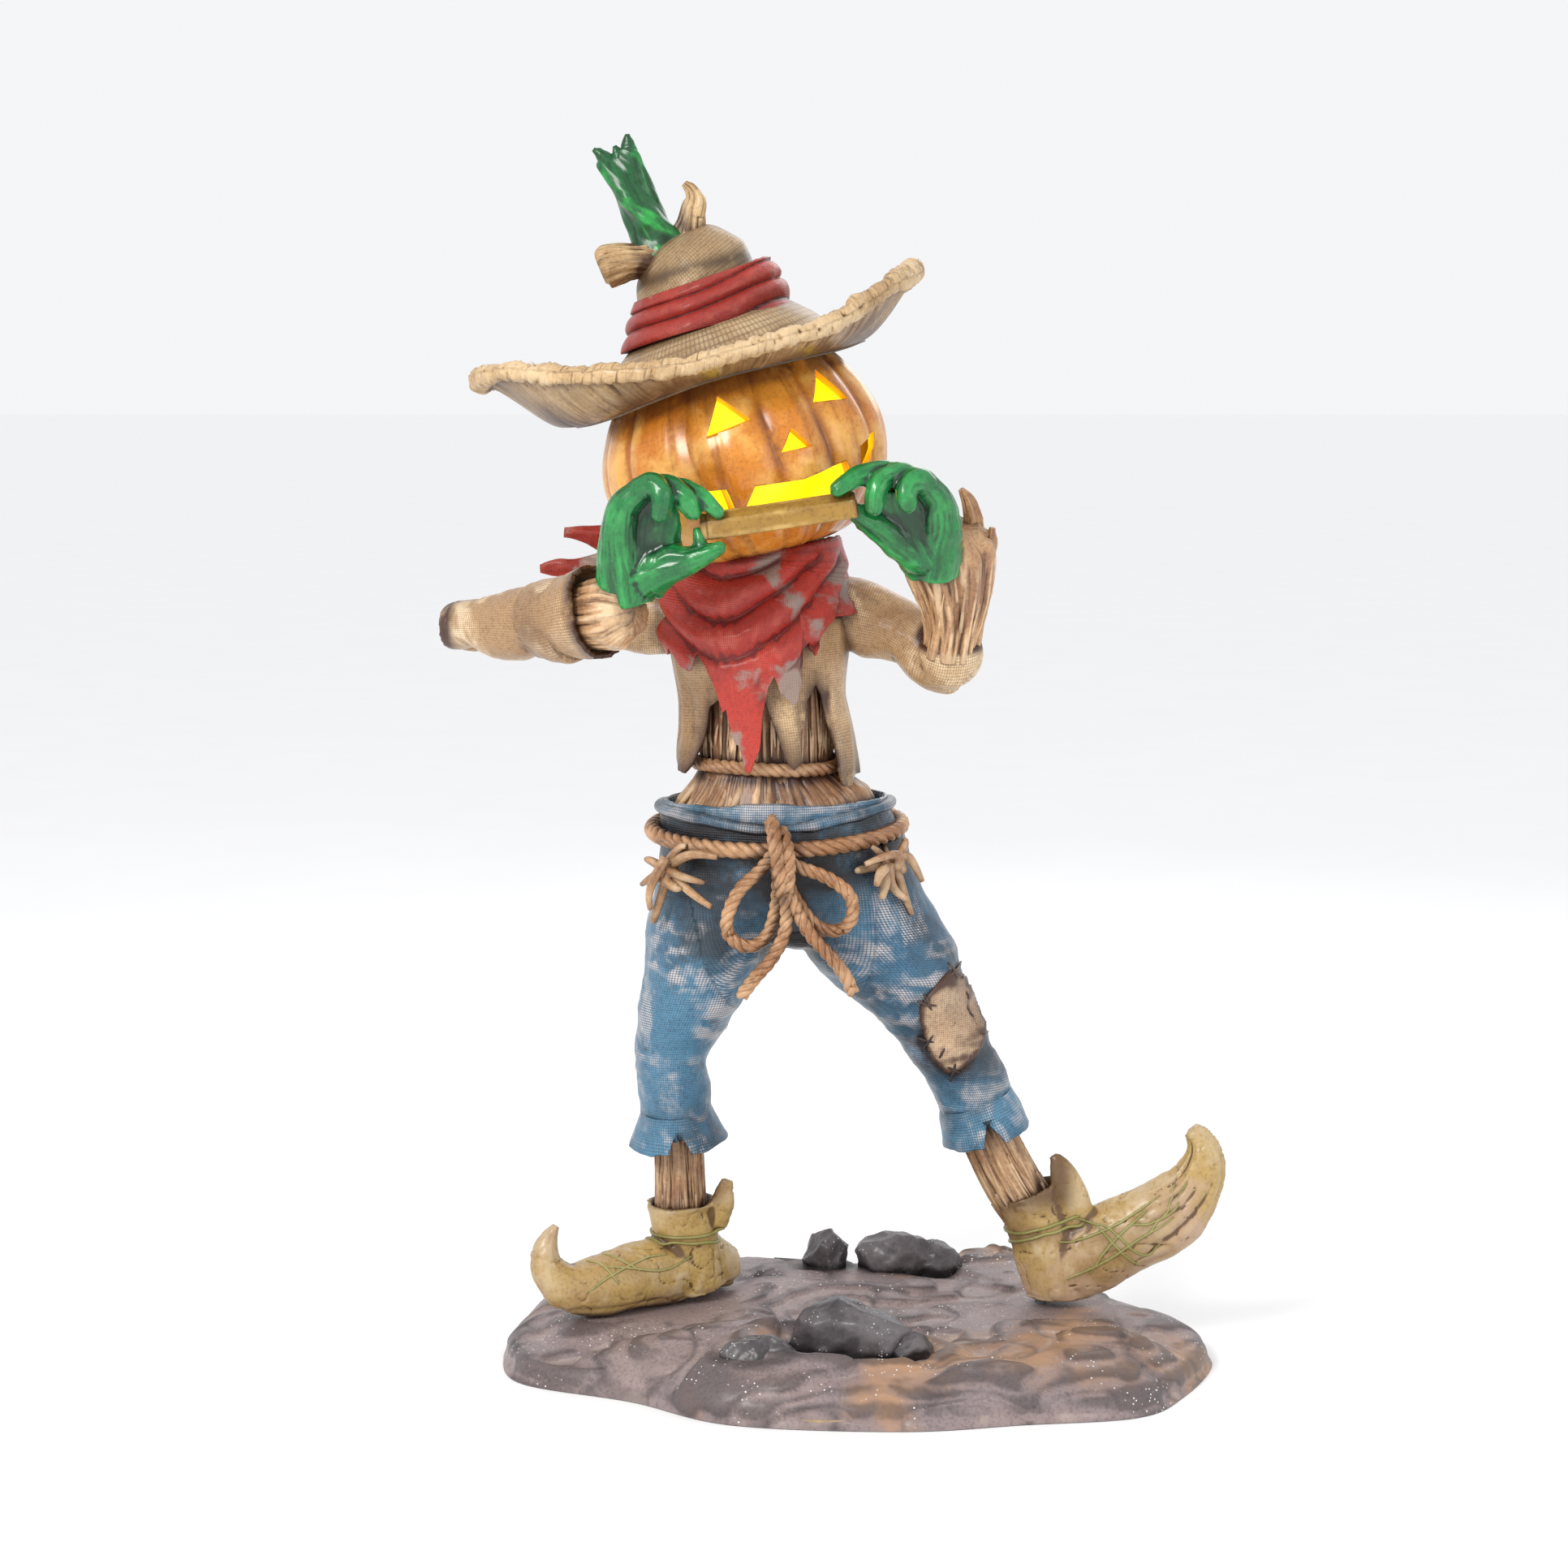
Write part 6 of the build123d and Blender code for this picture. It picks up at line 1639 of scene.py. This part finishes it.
LEFT_UPPER = [
    (-30, 14, 1058, 49, 46), (40, 0, 1040, 45, 44), (100, -32, 1004, 42, 42), (140, -48, 988, 38, 38),
]
LEFT_LOWER = [
    (124, -44, 984, 36, 36), (127, -56, 996, 42, 41), (128, -64, 1010, 43, 42),
    (128, -68, 1022, 41, 40),
]
one = sleeve([LEFT_UPPER, LEFT_LOWER], 400)
# Painted shade at the left elbow, where the straw forearm comes out of the sleeve.
elbow_shade = 1.4 * near(one["v"], (128, -66, 1024), 58, 40, (1, 1, 0.6))
piece("left_sleeve_cloth", one, "burlap", ["left_sleeve"], hollow=9, wash_and_shade=elbow_shade)
LEFT_FORE = [
    (126, -66, 1002, 38, 36), (130, -80, 1046, 40, 37), (128, -98, 1090, 51, 45),
    (122, -118, 1130, 61, 50),
    (117, -136, 1158, 60, 47), (116, -146, 1176, 44, 34),
]
left_straw = tube(LEFT_FORE, 110, 170, (True, True), straw_skin(5.0, 19, 150, 50, 6))
piece("left_straw", left_straw, "straw", ["left_forearm"], hollow=7)
SPIKES = [
    [
        (150, -112, 1140, 17, 14), (154, -124, 1180, 13, 11), (146, -132, 1212, 9, 8),
        (136, -136, 1230, 3, 3),
    ],
    [(168, -118, 1130, 12, 10), (176, -126, 1156, 9, 8), (178, -132, 1178, 3, 3)],
    [(74, -132, 1130, 11, 9), (62, -142, 1156, 8, 7), (54, -146, 1176, 3, 3)],
]
spikes = (tube(rows, 40, 40, (True, True), straw_skin(2.6, 6, 60, 14, 8)) for rows in SPIKES)
piece("left_tufts", join(*spikes), "straw", hollow=4)


def coat(rows, count, length, thick, flare, ends):
    """Strands lying along a limb, some reaching past its end."""
    steps = 120
    last = steps - 1
    line, total = smooth(rows, steps)
    across, deep, _ = axes_along(line[:, :3])
    start = rng.uniform(ends[0], ends[1], count)
    reach = rng.uniform(*length, count) / total
    t = np.linspace(0, 1, 8)
    pick = np.clip(start[:, None] + reach[:, None] * t, 0, 1.12) * last
    turn = rng.uniform(0, tau, count)[:, None] + rng.normal(0, 0.12, count)[:, None] * t

    def picked(values):
        columns = (np.interp(np.minimum(pick, last), np.arange(steps), column) for column in values.T)
        return np.stack(list(columns), -1)

    row, wide, high = picked(line), picked(across), picked(deep)
    along = unit(line[-1, :3] - line[-4, :3])
    beyond = np.maximum(pick - last, 0)[..., None] / last * total * along
    out = flare * t**2 * rng.uniform(0.2, 1.0, count)[:, None]
    wide = wide * ((row[..., 3] + out)[..., None] * np.cos(turn)[..., None])
    high = high * ((row[..., 4] + out)[..., None] * np.sin(turn)[..., None])
    radii = rng.uniform(*thick, count)[:, None] * (1 - 0.7 * t**2)
    return strands(row[..., :3] + beyond + wide + high, radii)


COATS = {
    "right_straw_ends": (RIGHT_FORE[:-1], 16, (30, 60), (1.6, 3.0), 1.5, (0.35, 0.8)),
    "left_straw_ends": (LEFT_FORE[:-1], 12, (35, 80), (1.8, 3.2), 2, (0.1, 0.75)),
    "right_shank_straw": (RIGHT_SHANK, 60, (40, 110), (1.4, 2.6), 0.5, (0.0, 0.8)),
    "left_shank_straw": (LEFT_SHANK, 60, (40, 110), (1.4, 2.6), 0.5, (0.0, 0.8)),
}
for name, spec in COATS.items():
    piece(name, coat(*spec), "straw", hollow=2)

# ------------------------------------------------------------------ mouth organ and hands
ORGAN_CENTRE = np.array([-107.0, -244.0, 1199.0])
TILT = radians(8.5)
organ_x, organ_z = np.array([cos(TILT), 0, sin(TILT)]), np.array([-sin(TILT), 0, cos(TILT)])
organ_y = np.array([0.0, 1.0, 0.0])
PROFILE = [
    (-17, -14), (-17, 5), (-15, 8), (-6, 15.5), (-3, 17.5), (10, 17.5), (17, 12), (17, -12),
    (12, -17.5), (-12, -17.5),
]
ORGAN_SIDES = 72
organ_rim, _ = smooth([(y, z, 0) for y, z in PROFILE], ORGAN_SIDES, True)
# Distance from the middle and size at the right end; the left end mirrors it.
END = [(103, 0.80), (101.5, 0.93), (98, 1.0), (96, 1.0), (95, 0.955), (93, 0.955), (92, 1.0)]
stations = np.array(
    [(-x, share) for x, share in END] + [(x, 1.0) for x in np.linspace(-88, 88, 45)] + END[::-1]
)
run, size = stations[:, None, :1], stations[:, None, 1:]
organ_skin = ORGAN_CENTRE + run * organ_x + organ_rim[None, :, :1] * organ_y * size
organ_skin = organ_skin + organ_rim[None, :, 1:2] * organ_z * size
cap = np.arange(ORGAN_SIDES)
organ_faces = [
    quads(len(stations), ORGAN_SIDES)[:, ::-1], cap[None],
    (cap[::-1] + (len(stations) - 1) * ORGAN_SIDES)[None],
]
organ_fabric = np.stack(np.broadcast_arrays(stations[:, None, 0], organ_rim[None, :, 0]), -1)
organ = form(organ_skin, organ_faces, organ_fabric)
combs = []
for k in range(12):
    middle = ORGAN_CENTRE + (-82.5 + 15 * k) * organ_x + 17.0 * organ_y
    combs.append(tube([(*(middle - organ_x * 5), 5.0, 6.0), (*(middle + organ_x * 5), 5.0, 6.0)], 4, 16))
piece("mouth_organ", join(organ, *combs), "mouth_organ", ["harmonica"], hollow=6, reach=0.8)

# Palm, back, three fingers, thumb and the web between thumb and mouth organ.
RIGHT_HAND = [
    [
        (-303, -212, 1084, 33, 30), (-310, -222, 1124, 36, 28), (-315, -236, 1167, 27, 25),
        (-309, -250, 1207, 21, 22), (-287, -262, 1231, 18, 19),
    ],
    [
        (-292, -222, 1106, 34, 20), (-276, -230, 1136, 42, 17), (-272, -234, 1168, 39, 14),
        (-268, -240, 1204, 33, 12), (-268, -246, 1226, 22, 10),
    ],
    [
        (-289, -262, 1231, 17, 17), (-271, -272, 1240, 17, 17), (-258, -282, 1231, 16, 16),
        (-257, -286, 1215, 14.5, 14.5), (-260, -284, 1204, 12.5, 12.5),
    ],
    [
        (-275, -248, 1236, 15, 15), (-251, -258, 1240, 15, 15), (-234, -268, 1229, 14.5, 14.5),
        (-224, -272, 1216, 14, 14), (-218, -270, 1205, 12, 12),
    ],
    [
        (-263, -238, 1233, 13, 13), (-235, -248, 1236, 13, 13), (-213, -258, 1227, 12.5, 12.5),
        (-198, -262, 1216, 12, 12), (-185, -262, 1204, 9.5, 9.5),
    ],
    [
        (-287, -226, 1121, 36, 24), (-255, -238, 1133, 29, 21), (-227, -250, 1140, 20, 17),
        (-203, -260, 1150, 14, 14), (-184, -266, 1158, 9, 9),
    ],
    [
        (-220, -252, 1138, 13, 12), (-210, -256, 1157, 10, 10), (-211, -256, 1172, 8, 8),
        (-215, -254, 1184, 5, 5),
    ],
]
LEFT_HAND = [
    [
        (98, -158, 1119, 35, 30), (101, -176, 1152, 36, 28), (107, -196, 1183, 27, 25),
        (102, -214, 1216, 21, 22), (87, -230, 1236, 18, 19),
    ],
    [
        (98, -164, 1128, 36, 22), (80, -186, 1161, 42, 18), (62, -202, 1190, 44, 15),
        (48, -216, 1214, 40, 13), (46, -226, 1234, 26, 10),
    ],
    [
        (90, -228, 1235, 17, 17), (75, -244, 1245, 17, 17), (62, -258, 1239, 16, 16),
        (58, -264, 1226, 15, 15), (60, -262, 1216, 13.5, 13.5),
    ],
    [
        (80, -220, 1242, 16, 16), (50, -238, 1253, 16, 16), (28, -256, 1245, 15.5, 15.5),
        (19, -264, 1229, 15, 15), (17, -262, 1212, 13.5, 13.5),
    ],
    [
        (68, -214, 1246, 15, 15), (33, -232, 1255, 15.5, 15.5), (3, -248, 1252, 15, 15),
        (-16, -256, 1243, 13.5, 13.5), (-30, -258, 1234, 11, 11),
    ],
    [
        (87, -176, 1144, 31, 24), (56, -196, 1162, 27, 20), (28, -216, 1180, 20, 16),
        (6, -232, 1192, 14, 13), (-7, -240, 1200, 10, 10),
    ],
    [(8, -226, 1187, 14, 12), (-3, -238, 1202, 11, 11), (-3, -240, 1215, 9, 9)],
]


def hand_skin(angle, run, size, at):
    grain = ridges(angle, run, np.maximum(size, 10), 8.5, 60, 71)
    return 0.9 * grain + 1.5 * noise(at, 26, 72, 2) - 0.3


def hand(name, node, limbs, hollow_at):
    """A hand melted from its limbs, with painted shade in the cup of the palm."""
    parts = [tube(rows, 40, 40) for rows in limbs]
    parts += [ball(np.array(rows[-1][:3]), (rows[-1][3],) * 3, 16, 24) for rows in limbs[2:6]]
    one = fuse(parts, 2.2, 3)
    angle, run, size = place_on(one["v"], limbs)
    n = normals_of(one["v"], one["f"])
    one["v"] += n * hand_skin(angle, run, size, one["v"])[:, None]
    one["fab"], one["turn"] = np.stack([(angle + pi / 2) % tau * size, run], 1), tau * size
    palm_shade = 0.85 * near(one["v"], hollow_at, 1.25, 0.35, (30, 26, 42)) * step(-n[:, 1], -0.2, 0.5)
    piece(name, one, "hand", [node], hollow=8, reach=1.1, wash_and_shade=palm_shade)


hand("right_hand_skin", "right_hand", RIGHT_HAND, (-276, -252, 1182))
hand("left_hand_skin", "left_hand", LEFT_HAND, (66, -222, 1182))

# ------------------------------------------------------------------ painted shade where pieces meet
CELL, AHEAD = 7.0, 14.0  # size of a cell of the grid, and how far before the skin it is read
GRID_LOW, GRID_HIGH = np.array([-760.0, -480.0, -60.0]), np.array([700.0, 500.0, 1800.0])


def thicken(grid):
    for axis in (0, 0, 1, 1, 2, 2):
        grid = (np.roll(grid, 1, axis) + grid + np.roll(grid, -1, axis)) / 3
    return grid


def read_grid(grid, place):
    """Values of the grid between its cells."""
    cell = np.clip(np.floor(place).astype(int), 0, np.array(grid.shape) - 2)
    f = place - cell
    value = 0.0
    for corner in range(8):
        k = np.array([corner & 1, corner >> 1 & 1, corner >> 2])
        value = value + np.prod(np.where(k == 1, f, 1 - f), axis=-1) * grid[tuple((cell + k).T)]
    return value


shown = [ob for ob in bpy.context.scene.objects if ob.type == "MESH" and "wash_and_shade" in ob.data.attributes]
everything = np.zeros(np.ceil((GRID_HIGH - GRID_LOW) / CELL).astype(int), np.float32)
places = []
for ob in shown:
    v, faces, _, _, _ = read_mesh(ob.data)
    at = (v - GRID_LOW) / CELL
    places.append((at, at + normals_of(v, faces) * AHEAD / CELL, np.unique(at.astype(int), axis=0)))
    if "straw" not in ob.name:
        everything[tuple(places[-1][2].T)] += 1
everything = thicken(everything)
for ob, (at, read_at, cells) in zip(shown, places):
    low, high = cells.min(0) - 5, cells.max(0) + 6
    own = np.zeros(high - low, np.float32)
    own[tuple((cells - low).T)] = 1
    crowd = read_grid(everything, read_at)
    if "straw" not in ob.name:
        crowd = crowd - read_grid(thicken(own), read_at - low)
    stored = ob.data.attributes["wash_and_shade"].data
    dark = np.zeros(len(at))
    stored.foreach_get("value", dark)
    # Painted shade: darker where other pieces lie close in front of the skin.
    dark = np.clip(dark + 0.72 * np.clip((crowd - 0.07) * 3.0, 0, 1), 0, 1)
    stored.foreach_set("value", dark)

# ------------------------------------------------------------------ floor
FLOOR = 80000.0  # half the side of the floor in mm
corners = np.array([(-FLOOR, -FLOOR, 0), (FLOOR, -FLOOR, 0), (FLOOR, FLOOR, 0), (-FLOOR, FLOOR, 0)])
floor = mesh_of({"v": corners, "f": [np.array([[0, 1, 2, 3]])]}, "floor")
floor.materials.append(plain("floor", (0.97, 0.97, 0.97), 0.9, grain=3.0, vary=0.99))
floor_ob = bpy.data.objects.new("floor", floor)
bpy.context.scene.collection.objects.link(floor_ob)
floor_ob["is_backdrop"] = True

# ------------------------------------------------------------------ finish
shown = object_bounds()
